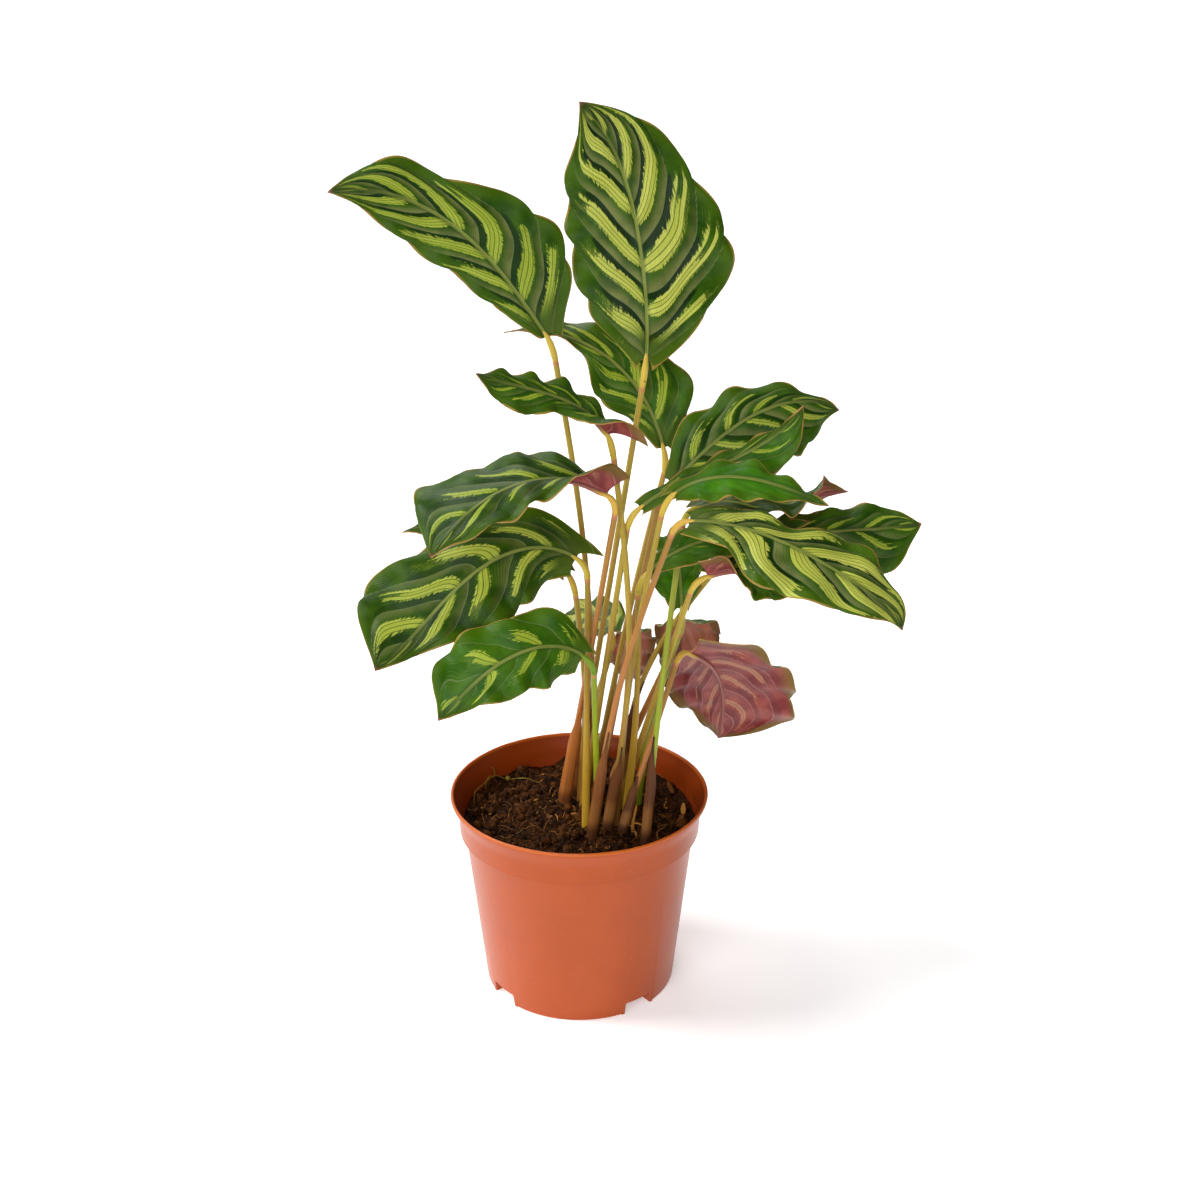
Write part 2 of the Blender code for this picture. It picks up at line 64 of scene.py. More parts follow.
# The pot is one thin moulding of terracotta-coloured plastic: a tapered body, a stepped collar and a
# flared rim. Four drain channels rise into its floor, and their ends show as notches in its foot.
POT_HEIGHT = 97 * MM
POT_WALL = 1.5 * MM
FOOT_RADIUS = 45 * MM
BODY_TOP_RADIUS = 53.5 * MM
COLLAR_BOTTOM_HEIGHT = 78.5 * MM
COLLAR_RADIUS = 56 * MM
COLLAR_TOP_RADIUS = COLLAR_RADIUS + 0.5 * MM
FLARE_HEIGHT = 88 * MM
RIM_RADIUS = 60 * MM
WALL_BENDS = (POT_WALL, COLLAR_BOTTOM_HEIGHT - POT_WALL, COLLAR_BOTTOM_HEIGHT + POT_WALL, FLARE_HEIGHT)
FLARE_OUTSIDE = (
    # radius and height, from the lower edge of the lip down to the collar
    (RIM_RADIUS - 0.5 * MM, POT_HEIGHT - 2.5 * MM),
    (COLLAR_RADIUS + 1.4 * MM, FLARE_HEIGHT + 2.5 * MM),
    (COLLAR_TOP_RADIUS, FLARE_HEIGHT - MM),
)
COLLAR_ROUNDING = 0.5 * MM
STEP_OUTSIDE = (
    # radius and height of the small step from the collar in to the body
    (BODY_TOP_RADIUS + 0.4 * MM, COLLAR_BOTTOM_HEIGHT),
    (BODY_TOP_RADIUS, COLLAR_BOTTOM_HEIGHT - MM),
)
FOOT_ROUNDING = 0.7 * MM
ROUNDING_STEPS = 4
LIP_UNEVENNESS = 0.15 * MM
LIP_WAVE_SIZE = 3 * MM
POT_SIDES = 144
SHARP_FROM_DEGREES = 40
CHANNEL_DIRECTIONS = (-53, -143, 37, 127)
CHANNEL_WIDTH = 15 * MM
CHANNEL_HEIGHT = 6 * MM
CHANNEL_START = 14 * MM
CHANNEL_ROUNDING = 1 * MM
DRAIN_RADIUS = 3.5 * MM
DRAIN_DISTANCE = 27 * MM
DRAIN_SIDES = 32
CUTTER_REACH = 10 * MM
STAIN_HEIGHTS = (93 * MM, 82 * MM)
LIP_HIGHLIGHT_HEIGHTS = (95.6 * MM, 96.2 * MM)


def srgb(red, green, blue):
    """A colour as seen on screen, from 0 to 255, as the shader's linear values."""
    shares = [value / 255 for value in (red, green, blue)]
    return tuple(share / 12.92 if share <= 0.04045 else ((share + 0.055) / 1.055) ** 2.4
                 for share in shares)


class Signal:
    """A value that a material works out at each point. Sums and products of signals add Math nodes."""

    def __init__(self, finish, socket):
        self.finish = finish
        self.socket = socket

    def maths(self, operation, *others):
        node = self.finish.add("ShaderNodeMath", operation=operation)
        for socket, value in zip(node.inputs, (self, *others)):
            self.finish.feed(socket, value)
        return Signal(self.finish, node.outputs[0])

    def __add__(self, other):
        return self.maths("ADD", other)

    def __sub__(self, other):
        return self.maths("SUBTRACT", other)

    def __rsub__(self, other):
        return (self * -1) + other

    def __mul__(self, other):
        return self.maths("MULTIPLY", other)

    __radd__ = __add__
    __rmul__ = __mul__

    def __pow__(self, other):
        return self.maths("POWER", other)

    def size(self):
        return self.maths("ABSOLUTE")

    def fraction(self):
        return self.maths("FRACT")

    def rise(self, low, high):
        """0 at low and before, 1 at high and beyond, and an even S between."""
        node = self.finish.add("ShaderNodeMapRange", interpolation_type="SMOOTHSTEP")
        self.finish.feed(node.inputs["Value"], self)
        self.finish.feed(node.inputs["From Min"], low)
        self.finish.feed(node.inputs["From Max"], high)
        return Signal(self.finish, node.outputs["Result"])

    def hump(self, middle, half, soft):
        """1 within half of the middle, falling to 0 over soft beyond it."""
        return (self - middle).size().rise(half + soft, half)


class Finish:
    """A procedural material on one Principled shader."""

    def __init__(self, name, roughness, specular=0.5):
        self.material = bpy.data.materials.new(name)
        self.material.use_nodes = True
        self.nodes = self.material.node_tree.nodes
        self.shader = self.nodes["Principled BSDF"]
        self.shader.inputs["Roughness"].default_value = roughness
        self.shader.inputs["Specular IOR Level"].default_value = specular

    def add(self, kind, **settings):
        node = self.nodes.new(kind)
        for name, value in settings.items():
            setattr(node, name, value)
        return node

    def feed(self, socket, value):
        if isinstance(value, Signal):
            self.material.node_tree.links.new(value.socket, socket)
        elif socket.type == "RGBA" and len(value) == 3:
            socket.default_value = (*value, 1)
        else:
            socket.default_value = value

    def place(self):
        """The point on the object, in metres."""
        return Signal(self, self.add("ShaderNodeTexCoord").outputs["Object"])

    def attribute(self, name):
        return Signal(self, self.add("ShaderNodeAttribute", attribute_name=name).outputs["Fac"])

    def joined(self, x, y, z=0.0):
        node = self.add("ShaderNodeCombineXYZ")
        for socket, value in zip(node.inputs, (x, y, z)):
            self.feed(socket, value)
        return Signal(self, node.outputs[0])

    def height(self, place):
        node = self.add("ShaderNodeSeparateXYZ")
        self.feed(node.inputs[0], place)
        return Signal(self, node.outputs["Z"])

    def turned_place(self, place, degrees, size):
        """The place turned about Z and measured in lengths of this size."""
        node = self.add("ShaderNodeMapping")
        self.feed(node.inputs["Vector"], place)
        node.inputs["Rotation"].default_value = (0, 0, math.radians(degrees))
        node.inputs["Scale"].default_value = [1 / length for length in size]
        return Signal(self, node.outputs[0])

    def chance(self, place):
        """A random value between 0 and 1 for each place."""
        node = self.add("ShaderNodeTexWhiteNoise")
        self.feed(node.inputs["Vector"], place)
        return Signal(self, node.outputs["Value"])

    def cloud(self, place, size, detail=2.0, rough=0.5):
        """Noise between 0 and 1 with lumps of about this size."""
        node = self.add("ShaderNodeTexNoise")
        self.feed(node.inputs["Vector"], place)
        self.feed(node.inputs["Scale"], 1 / size)
        self.feed(node.inputs["Detail"], detail)
        self.feed(node.inputs["Roughness"], rough)
        return Signal(self, node.outputs["Fac"])

    def mix(self, share, first, second):
        """The first colour where the share is 0, the second where it is 1."""
        node = self.add("ShaderNodeMix", data_type="RGBA")
        self.feed(node.inputs["Factor"], share)
        self.feed(node.inputs[6], first)
        self.feed(node.inputs[7], second)
        return Signal(self, node.outputs[2])

    def set(self, colour, roughness=None, relief=None, depth=0.1 * MM):
        self.feed(self.shader.inputs["Base Color"], colour)
        if roughness is not None:
            self.feed(self.shader.inputs["Roughness"], roughness)
        if relief is not None:
            bump = self.add("ShaderNodeBump")
            self.feed(bump.inputs["Height"], relief)
            bump.inputs["Distance"].default_value = depth
            self.feed(self.shader.inputs["Normal"], Signal(self, bump.outputs["Normal"]))
        return self.material


def mesh_piece(name, bm, *materials):
    mesh = bpy.data.meshes.new(name)
    bm.to_mesh(mesh)
    bm.free()
    for material in materials:
        mesh.materials.append(material)
    mesh.shade_smooth()
    piece = bpy.data.objects.new(name, mesh)
    bpy.context.scene.collection.objects.link(piece)
    return piece


def keep_shape(piece):
    """Replaces a piece's mesh by what its modifiers make of it."""
    evaluated = piece.evaluated_get(bpy.context.evaluated_depsgraph_get())
    mesh = bpy.data.meshes.new_from_object(evaluated)
    piece.modifiers.clear()
    piece.data = mesh


def close_seams(bm, distance=0.001 * MM):
    """Joins the corners that meet and turns all faces outwards."""
    bmesh.ops.remove_doubles(bm, verts=bm.verts[:], dist=distance)
    bmesh.ops.recalc_face_normals(bm, faces=bm.faces[:])


def wall_inside(height):
    """Inner radius of the pot at a height."""
    radii = (FOOT_RADIUS, BODY_TOP_RADIUS, COLLAR_RADIUS, COLLAR_TOP_RADIUS, RIM_RADIUS)
    return float(np.interp(height, (*WALL_BENDS, POT_HEIGHT), radii)) - POT_WALL


def quarter_round(radius, height, size, start):
    """Points of a rounded edge of a profile, turning a quarter from the angle at which it starts."""
    turns = [math.radians(start - step * 90 / ROUNDING_STEPS) for step in range(ROUNDING_STEPS + 1)]
    return [(radius + size * math.cos(turn), height + size * math.sin(turn)) for turn in turns]


def outwards(degrees, distance):
    """The place at a distance from the pot's axis in one direction, turned that way."""
    return Matrix.Rotation(math.radians(degrees), 4, "Z") @ Matrix.Translation((distance, 0, 0))


def channel_bars(width, height, start, end):
    """A bar along each drain channel, with its two long upper edges rounded."""
    bm = bmesh.new()
    for degrees in CHANNEL_DIRECTIONS:
        bar = Matrix.Diagonal((end - start, width, 2 * height, 1))
        made = bmesh.ops.create_cube(bm, size=1, matrix=outwards(degrees, (start + end) / 2) @ bar)
        long_edges = {edge for vert in made["verts"] for edge in vert.link_edges
                      if all(corner.co.z > 0 for corner in edge.verts) and edge.calc_length() > 1.1 * width}
        bmesh.ops.bevel(bm, geom=list(long_edges), offset=CHANNEL_ROUNDING, segments=3, profile=0.5,
                        affect="EDGES", material=-1)
    return mesh_piece("cutter", bm)


def ground_block():
    """What lies below the pot's foot."""
    bm = bmesh.new()
    block = Matrix.Diagonal((5 * RIM_RADIUS, 5 * RIM_RADIUS, 2 * CUTTER_REACH, 1))
    bmesh.ops.create_cube(bm, size=1, matrix=Matrix.Translation((0, 0, -CUTTER_REACH)) @ block)
    return mesh_piece("cutter", bm)


def drain_pegs():
    """An upright peg where each drain hole goes."""
    bm = bmesh.new()
    for degrees in CHANNEL_DIRECTIONS:
        bmesh.ops.create_cone(bm, cap_ends=True, segments=DRAIN_SIDES, radius1=DRAIN_RADIUS,
                              radius2=DRAIN_RADIUS, depth=4 * CUTTER_REACH,
                              matrix=outwards(degrees, DRAIN_DISTANCE))
    return mesh_piece("cutter", bm)


def turned(bm, profile, sides):
    """Turns a profile of radius and height into a closed shape with its faces outwards."""
    line = [bm.verts.new((radius, 0, height)) for radius, height in profile]
    for first, second in zip(line[:-1], line[1:]):
        bm.edges.new((first, second))
    bmesh.ops.spin(bm, geom=bm.verts[:] + bm.edges[:], cent=(0, 0, 0), axis=(0, 0, 1),
                   angle=2 * math.pi, steps=sides, use_merge=True)
    close_seams(bm, 0.01 * MM)


def pot_profile():
    """Radius and height from the middle of the floor's inside, over the lip, to the middle below."""
    edge = POT_WALL / 2
    inside = [(wall_inside(height), height)
              for height in (*WALL_BENDS, 0.5 * (FLARE_HEIGHT + POT_HEIGHT))]
    lip = quarter_round(RIM_RADIUS - edge, POT_HEIGHT - edge, edge, 180)
    lip += quarter_round(RIM_RADIUS - edge, POT_HEIGHT - edge, edge, 90)[1:]
    collar = quarter_round(COLLAR_RADIUS - COLLAR_ROUNDING, COLLAR_BOTTOM_HEIGHT + COLLAR_ROUNDING,
                           COLLAR_ROUNDING, 0)
    foot = quarter_round(FOOT_RADIUS - FOOT_ROUNDING, FOOT_ROUNDING, FOOT_ROUNDING, 0)
    return [(0, POT_WALL), *inside, *lip, *FLARE_OUTSIDE, *collar, *STEP_OUTSIDE, *foot, (0, 0)]


def make_pot():
    bm = bmesh.new()
    turned(bm, pot_profile(), POT_SIDES)
    for corner in bm.verts:
        if corner.co.z > POT_HEIGHT - POT_WALL:
            corner.co.z += LIP_UNEVENNESS * noise.noise(corner.co / LIP_WAVE_SIZE)
    pot = mesh_piece("pot_shell", bm, pot_plastic())
    covers = channel_bars(CHANNEL_WIDTH + 2 * POT_WALL, CHANNEL_HEIGHT + POT_WALL,
                          CHANNEL_START - POT_WALL, FOOT_RADIUS - POT_WALL / 2)
    ground = ground_block()
    hollows = channel_bars(CHANNEL_WIDTH, CHANNEL_HEIGHT, CHANNEL_START, FOOT_RADIUS + CUTTER_REACH)
    holes = drain_pegs()
    for cutter, operation in ((covers, "UNION"), (ground, "DIFFERENCE"), (hollows, "DIFFERENCE"),
                              (holes, "DIFFERENCE")):
        cut = pot.modifiers.new("cut", "BOOLEAN")
        cut.operation = operation
        cut.object = cutter
    keep_shape(pot)
    for cutter in (covers, ground, hollows, holes):
        bpy.data.objects.remove(cutter)
    pot.data.set_sharp_from_angle(angle=math.radians(SHARP_FROM_DEGREES))
    inside = [float(math.hypot(*vert.co.xy) < wall_inside(vert.co.z) + POT_WALL / 3)
              for vert in pot.data.vertices]
    pot.data.attributes.new("inside", "FLOAT", "POINT").data.foreach_set("value", inside)
    return pot


def pot_plastic():
    """Semi-matte moulded plastic with faint flow marks and specks, dusty soil stains inside, painted shade
    that darkens the whole inside, and a painted highlight along the lip.
    """
    finish = Finish("terracotta plastic", 0.42, 0.35)
    place = finish.place()
    flow = finish.cloud(place, 18 * MM, 3)
    colour = finish.mix(flow.rise(0.2, 0.8), srgb(166, 68, 10), srgb(172, 72, 13))
    specks = finish.cloud(place, 0.9 * MM, 0).rise(0.76, 0.82)
    colour = finish.mix(specks * 0.25, colour, srgb(214, 128, 70))
    dark_specks = finish.cloud(finish.turned_place(place, 50, (1, 1, 1)), 1.3 * MM, 0).rise(0.77, 0.83)
    colour = finish.mix(dark_specks * 0.35, colour, srgb(135, 62, 34))
    stains = finish.cloud(place, 7 * MM, 5, 0.65).rise(0.52, 0.75)
    inside = finish.attribute("inside")
    # Painted shade: the whole inside of the pot is darkened, standing in for the shade that falls in it.
    colour = finish.mix(inside * 0.6, colour, srgb(118, 40, 6))
    above_soil = finish.height(place).rise(*STAIN_HEIGHTS)
    colour = finish.mix(stains * above_soil * inside, colour, srgb(78, 42, 24))
    grain = finish.cloud(place, 0.5 * MM, 2)
    # Painted highlight: a lighter orange band along the top of the lip, where the light catches it.
    lip = finish.height(place).rise(*LIP_HIGHLIGHT_HEIGHTS)
    colour = finish.mix(lip * 0.8, colour, srgb(196, 96, 26))
    return finish.set(colour, flow * 0.1 + 0.3, grain, 0.02 * MM)


def fitted(piece, node=None):
    """Makes a piece ride on the plant's one body, in place of a CAD node where one is named."""
    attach(piece, "root")
    if node:
        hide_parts(node)


fitted(make_pot(), "pot")

# The peat fills the pot to about 15 mm below its lip: a coarse, lumpy surface that is banked up against
# the wall behind the stalks. Below the surface it is a plain plug.
SOIL_LEVEL = 82 * MM
SOIL_BOTTOM = 7.8 * MM
SOIL_TO_WALL = 0.36 * MM
SOIL_RINGS = 90
SOIL_SIDES = 270
LUMPS = ((14 * MM, 1.5 * MM), (6 * MM, 1.2 * MM), (2.6 * MM, 0.9 * MM), (1.2 * MM, 0.4 * MM))
BANK_HEIGHT = 5 * MM
BANK_WIDTH = 12 * MM
BANK_PATCHES = 11 * MM


def soil_height(x, y):
    """Height of the peat's surface."""
    radius = math.hypot(x, y)
    height = SOIL_LEVEL
    for number, (size, rise) in enumerate(LUMPS):
        height += rise * noise.noise(Vector((x / size, y / size, 3.7 * number)))
    near_wall = min(max((radius - wall_inside(SOIL_LEVEL) + BANK_WIDTH) / BANK_WIDTH, 0), 1) ** 2
    behind = min(max(y / radius if radius else 0, 0), 1)
    patchy = 0.5 + noise.noise(Vector((x / BANK_PATCHES, y / BANK_PATCHES, 9)))
    return height + BANK_HEIGHT * near_wall * behind * max(patchy, 0)


def peat():
    """Damp fibrous peat: nearly black patches, brown lumps and lighter shreds."""
    finish = Finish("peat", 0.9, 0.06)
    place = finish.place()
    lumps = finish.cloud(place, 4 * MM, 4, 0.6)
    colour = finish.mix(lumps.rise(0.3, 0.7), srgb(14, 6, 2), srgb(84, 46, 16))
    shreds = finish.cloud(finish.turned_place(place, 40, (0.6 * MM, 2.6 * MM, 2 * MM)), 1, 2)
    colour = finish.mix(shreds.rise(0.58, 0.7) * 0.55, colour, srgb(128, 80, 34))
    colour = finish.mix(finish.cloud(place, 1.2 * MM, 2).rise(0.55, 0.35), colour, srgb(18, 10, 5))
    colour = finish.mix(finish.attribute("tone") * 0.4, colour, srgb(124, 76, 34))
    grain = finish.cloud(place, 0.7 * MM, 4, 0.7)
    return finish.set(colour, lumps * 0.5 + 0.45, grain, 0.5 * MM)


def make_soil(material):
    bm = bmesh.new()
    edge = wall_inside(SOIL_LEVEL) - SOIL_TO_WALL
    top = [(edge * ring / SOIL_RINGS, SOIL_LEVEL) for ring in range(SOIL_RINGS + 1)]
    side = [(wall_inside(height) - SOIL_TO_WALL, height)
            for height in (COLLAR_BOTTOM_HEIGHT + POT_WALL, COLLAR_BOTTOM_HEIGHT - POT_WALL, SOIL_BOTTOM)]
    turned(bm, top + side + [(0, SOIL_BOTTOM)], SOIL_SIDES)
    for corner in bm.verts:
        if corner.co.z > SOIL_LEVEL - 0.1 * MM:
            corner.co.z = soil_height(corner.co.x, corner.co.y)
    return mesh_piece("peat_fill", bm, material)


peat_finish = peat()
fitted(make_soil(peat_finish), "soil")

# Loose clods of the same peat lie on it. They are rough balls of many sizes, most of them small, each
# pressed a little into the surface.
CLOD_COUNT = 620
CLOD_SIZES = (0.6 * MM, 2.8 * MM)
CLOD_MARGIN = 3.8 * MM
CLOD_RISE = 0.2
CLOD_BUMPS = 0.7
CLOD_BUMP_SIZE = 0.9 * MM
WHOLE_TURN = 6.28
draw = np.random.default_rng(11)


def spot_on_soil(margin):
    """A random place on the peat, further than the margin from its edge."""
    radius = (wall_inside(SOIL_LEVEL) - margin) * math.sqrt(draw.random())
    turn = draw.random() * 2 * math.pi
    x, y = radius * math.cos(turn), radius * math.sin(turn)
    return Vector((x, y, soil_height(x, y)))


def make_clods(material):
    bm = bmesh.new()
    tone = bm.verts.layers.float.new("tone")
    for _ in range(CLOD_COUNT):
        size = CLOD_SIZES[0] + (CLOD_SIZES[1] - CLOD_SIZES[0]) * draw.random() ** 3
        squash = Matrix.Diagonal((*(size * (0.7 + 0.5 * draw.random(3))), 1))
        turn = Matrix.Rotation(draw.random() * WHOLE_TURN, 4, "Z")
        roll = Matrix.Rotation(draw.random() * WHOLE_TURN, 4, "X")
        spot = Matrix.Translation(spot_on_soil(CLOD_MARGIN) + Vector((0, 0, CLOD_RISE * size)))
        made = bmesh.ops.create_icosphere(bm, subdivisions=2, radius=1,
                                          matrix=spot @ (turn @ roll) @ squash)
        shade = draw.random() ** 3
        for corner in made["verts"]:
            bump = noise.noise(corner.co / CLOD_BUMP_SIZE)
            corner.co += (corner.co - spot.translation) * CLOD_BUMPS * bump
            corner[tone] = shade
    return mesh_piece("peat_clods", bm, material)


fitted(make_clods(peat_finish))

# Fibres are shreds of root and moss in the peat: thin bent threads from nearly black to straw-coloured,
# which lie on the surface in all directions and stick up a little here and there.
FIBRE_COUNT = 900
FIBRE_POINTS = 9
FIBRE_SIDES = 4
FIBRE_MARGIN = 8 * MM
SHORTEST_FIBRE = 4
FIBRE_LENGTH_SPREAD = 17
THINNEST_FIBRE = 0.08
FIBRE_RADIUS_SPREAD = 0.22
FIBRE_SWING = 0.9
FIBRE_LIFT = 1.3
FIBRE_ABOVE_PEAT = 0.15 * MM


def thread(bm, route, radii, sides):
    """A closed tube round a route, wrapped from a grid. Gives each corner with its row and turn."""
    made = bmesh.ops.create_grid(bm, x_segments=len(route) - 1, y_segments=sides, size=1)
    forward = np.gradient(np.array(route), axis=0)
    forward /= np.linalg.norm(forward, axis=1)[:, None]
    side = np.cross(forward[0], (0.31, 0.17, 0.93) if abs(forward[0][2]) < 0.9 else (1.0, 0.2, 0))
    frames = []
    for ahead in forward:
        side = side - ahead * side.dot(ahead)
        side = side / np.linalg.norm(side)
        frames.append((side, np.cross(ahead, side)))
    placed = []
    for corner in made["verts"]:
        row = round((corner.co.x + 1) / 2 * (len(route) - 1))
        turn = math.pi * corner.co.y
        radius = 0 if row in (0, len(route) - 1) else radii[row]
        first, second = frames[row]
        corner.co = route[row] + radius * (first * math.cos(turn) + second * math.sin(turn))
        placed.append((corner, row, turn))
    return placed


def make_fibres(material):
    bm = bmesh.new()
    tone = bm.verts.layers.float.new("tone")
    for _ in range(FIBRE_COUNT):
        start = spot_on_soil(FIBRE_MARGIN)
        length = (SHORTEST_FIBRE + FIBRE_LENGTH_SPREAD * draw.random() ** 2) * MM
        heading = draw.random() * 2 * math.pi
        swing = draw.normal(0, FIBRE_SWING)
        lift = abs(draw.normal(0, FIBRE_LIFT)) * MM
        route = []
        for step in np.linspace(0, 1, FIBRE_POINTS):
            turn = heading + swing * step
            x = start.x + length * step * math.cos(turn)
            y = start.y + length * step * math.sin(turn)
            reach = max(math.hypot(x, y) / (wall_inside(SOIL_LEVEL) - MM), 1)
            x, y = x / reach, y / reach
            hump = lift * math.sin(math.pi * step) ** 2
            route.append((x, y, soil_height(x, y) + FIBRE_ABOVE_PEAT + hump))
        radius = (THINNEST_FIBRE + FIBRE_RADIUS_SPREAD * draw.random() ** 3) * MM
        shade = draw.random() ** 3
        for corner, *_ in thread(bm, np.array(route), [radius] * FIBRE_POINTS, FIBRE_SIDES):
            corner[tone] = shade
    close_seams(bm)
    return mesh_piece("peat_fibres", bm, material)


def fibre():
    """Dry root and bark, each shred in one shade from nearly black to straw."""
    finish = Finish("fibre", 0.7, 0.1)
    shade = finish.attribute("tone")
    colour = finish.mix(shade.rise(0, 0.6), srgb(36, 20, 8), srgb(104, 62, 25))
    colour = finish.mix(shade.rise(0.62, 1), colour, srgb(184, 130, 60))
    return finish.set(colour)


fibre_finish = fibre()
fitted(make_fibres(fibre_finish))

# Bark chips and a few shreds of dead leaf lie on the peat, dry and tan. The forked stub of an old shoot
# stands in it, with its three arms bent down to the surface.
CHIP_COUNT = 70
CHIP_MARGIN = 6 * MM
CHIP_ABOVE_PEAT = 0.4 * MM
SHORTEST_CHIP = 1.5
CHIP_LENGTH_SPREAD = 3.5
CHIP_HALF_THICKNESS = 0.35
CHIP_TILT = 22
CHIP_CURL_ACROSS = 0.22
CHIP_CURL_ALONG = 0.1
LARGE_CHIPS = (
    # x, y, how far above the peat, length and width in millimetres; heading and rise in degrees
    (47, -8, 1.4, 9, 3, 70, 15), (49, 3, 2.0, 7, 2.5, 85, 30), (44, 24, 1.6, 8, 2.5, 115, 30),
    (34, 37, 5.0, 12, 3.2, 100, 80), (30, 35, 3.0, 7, 2.2, 60, 60), (42, -22, 1.2, 6, 2, 35, 10),
)
STUB = (
    # points and thicknesses of each arm, in millimetres from the stub's foot
    (((0.5, 0, -3), (0, 0, 2), (0.6, 0, 7), (1.6, 0.5, 12), (1.2, 1, 15)), (1.6, 1.9, 1.4, 1.1, 0.5)),
    (((0, 0, 2.5), (-2.2, -1, 3.2), (-4.2, -2, 1.5), (-5.6, -3, -2)), (0.9, 0.9, 0.7, 0.5)),
    (((0.4, 0, 4), (2.6, -1, 4.5), (5.2, -1.5, 3), (7.0, -2, -1)), (0.9, 0.8, 0.7, 0.5)),
    (((0.2, 0, 1), (1.4, -2.5, 0.5), (1.8, -4.5, -1), (2, -6, -3)), (1.2, 1.0, 0.8, 0.5)),
)
STUB_PLACE = (24.5, -13)
STUB_SHADE = 0.9
STUB_SIDES = 10
STEPS_PER_STUB_POINT = 4


def smoothed(points, steps):
    """A smooth curve through the points, with the given steps between each two of them."""
    points = np.asarray(points, dtype=float)
    before = np.concatenate([points[:1], points[:-2]])
    after = np.concatenate([points[2:], points[-1:]])
    curve = []
    for first, start, end, last in zip(before, points[:-1], points[1:], after):
        for part in np.arange(steps) / steps:
            curve.append(0.5 * (2 * start + (end - first) * part
                                + (2 * first - 5 * start + 4 * end - last) * part ** 2
                                + (3 * start - first - 3 * end + last) * part ** 3))
    return np.array(curve + [points[-1]])


def add_chip(bm, tone, centre, length, width, heading, rise):
    """A closed, slightly curled flake."""
    made = bmesh.ops.create_uvsphere(bm, u_segments=10, v_segments=6, radius=1)
    tilt = Matrix.Rotation(-math.radians(rise), 4, "Y")
    lying = Matrix.Rotation(math.radians(heading), 4, "Z") @ tilt
    shade = 0.35 + 0.6 * draw.random()
    for corner in made["verts"]:
        x, y, z = corner.co
        flake = Vector((x * length / 2, y * width / 2, z * CHIP_HALF_THICKNESS * MM))
        flake *= 1 + 0.3 * noise.noise(Vector((x * 2, y * 2, length / MM)))
        flake.z += CHIP_CURL_ACROSS * width * y ** 2 + CHIP_CURL_ALONG * length * x ** 2
        corner.co = centre + lying @ flake
        corner[tone] = shade


def make_litter(material):
    bm = bmesh.new()
    tone = bm.verts.layers.float.new("tone")
    for _ in range(CHIP_COUNT):
        spot = spot_on_soil(CHIP_MARGIN) + Vector((0, 0, CHIP_ABOVE_PEAT))
        length = (SHORTEST_CHIP + CHIP_LENGTH_SPREAD * draw.random() ** 2) * MM
        width = length * (0.3 + 0.3 * draw.random())
        add_chip(bm, tone, spot, length, width, draw.random() * 360, draw.normal(0, CHIP_TILT))
    for x, y, above, length, width, heading, rise in LARGE_CHIPS:
        spot = Vector((x * MM, y * MM, soil_height(x * MM, y * MM) + above * MM))
        add_chip(bm, tone, spot, length * MM, width * MM, heading, rise)
    foot = np.array([*STUB_PLACE, soil_height(STUB_PLACE[0] * MM, STUB_PLACE[1] * MM) / MM])
    for points, thickness in STUB:
        route = (smoothed(points, STEPS_PER_STUB_POINT) + foot) * MM
        radii = smoothed(thickness, STEPS_PER_STUB_POINT) / 2 * MM
        for corner, *_ in thread(bm, route, radii, STUB_SIDES):
            corner[tone] = STUB_SHADE
    close_seams(bm)
    return mesh_piece("peat_litter", bm, material)


fitted(make_litter(fibre_finish))

# A seedling has come up on the left behind the plant: a thin olive thread that runs over the peat with
# a small round seed on it.
RUNNERS = (
    # x, y and height above the peat of the points of each thread, in millimetres
    ((-50, 10, 0.5), (-50, 17, 3), (-46.5, 24.5, 4), (-41, 32, 3), (-35, 35, 2.5), (-26, 33, 3),
     (-16, 30, 0.5)),
    ((-45.5, 27, -1), (-45, 26.5, 4), (-43.5, 28, 6), (-42.5, 30, 4.5)),
    ((-41, 32, 3), (-41.5, 32.5, 6), (-42.5, 32, 7.5)),
)
RUNNER_RADIUS = 0.24 * MM
RUNNER_SIDES = 8
STEPS_PER_RUNNER_POINT = 5
SEED_PLACE = (-35, 35, 3)
SEED_RADIUS = 1.3 * MM


def make_seedling(material):
    bm = bmesh.new()
    for points in RUNNERS:
        lifted = [(x, y, above + soil_height(x * MM, y * MM) / MM) for x, y, above in points]
        route = smoothed(lifted, STEPS_PER_RUNNER_POINT) * MM
        thread(bm, route, [RUNNER_RADIUS] * len(route), RUNNER_SIDES)
    x, y, above = SEED_PLACE
    ground = soil_height(x * MM, y * MM)
    bmesh.ops.create_icosphere(bm, subdivisions=3, radius=SEED_RADIUS,
                               matrix=Matrix.Translation((x * MM, y * MM, ground + above * MM)))
    close_seams(bm)
    return mesh_piece("seedling_thread", bm, material)


sprout = Finish("seedling", 0.45, 0.3)
sprout_tint = sprout.cloud(sprout.place(), 3 * MM).rise(0.35, 0.65)
seedling = make_seedling(sprout.set(sprout.mix(sprout_tint, srgb(104, 82, 18), srgb(134, 120, 26))))
fitted(seedling)

# Leaves. Each is a thin waved blade on the line of its midrib, with its own stalk from the peat. Their
# places and shapes are those of the CAD leaves, so that each fine blade lies where its solid is.
UP = (-90, 89)
TO_VIEWER = (-90, 16)
CUP_DEGREES = -14
WAVE_HEIGHT = 2.0 * MM
WAVES_PER_SIDE = 4.5
LOBE_REACH = 0.25


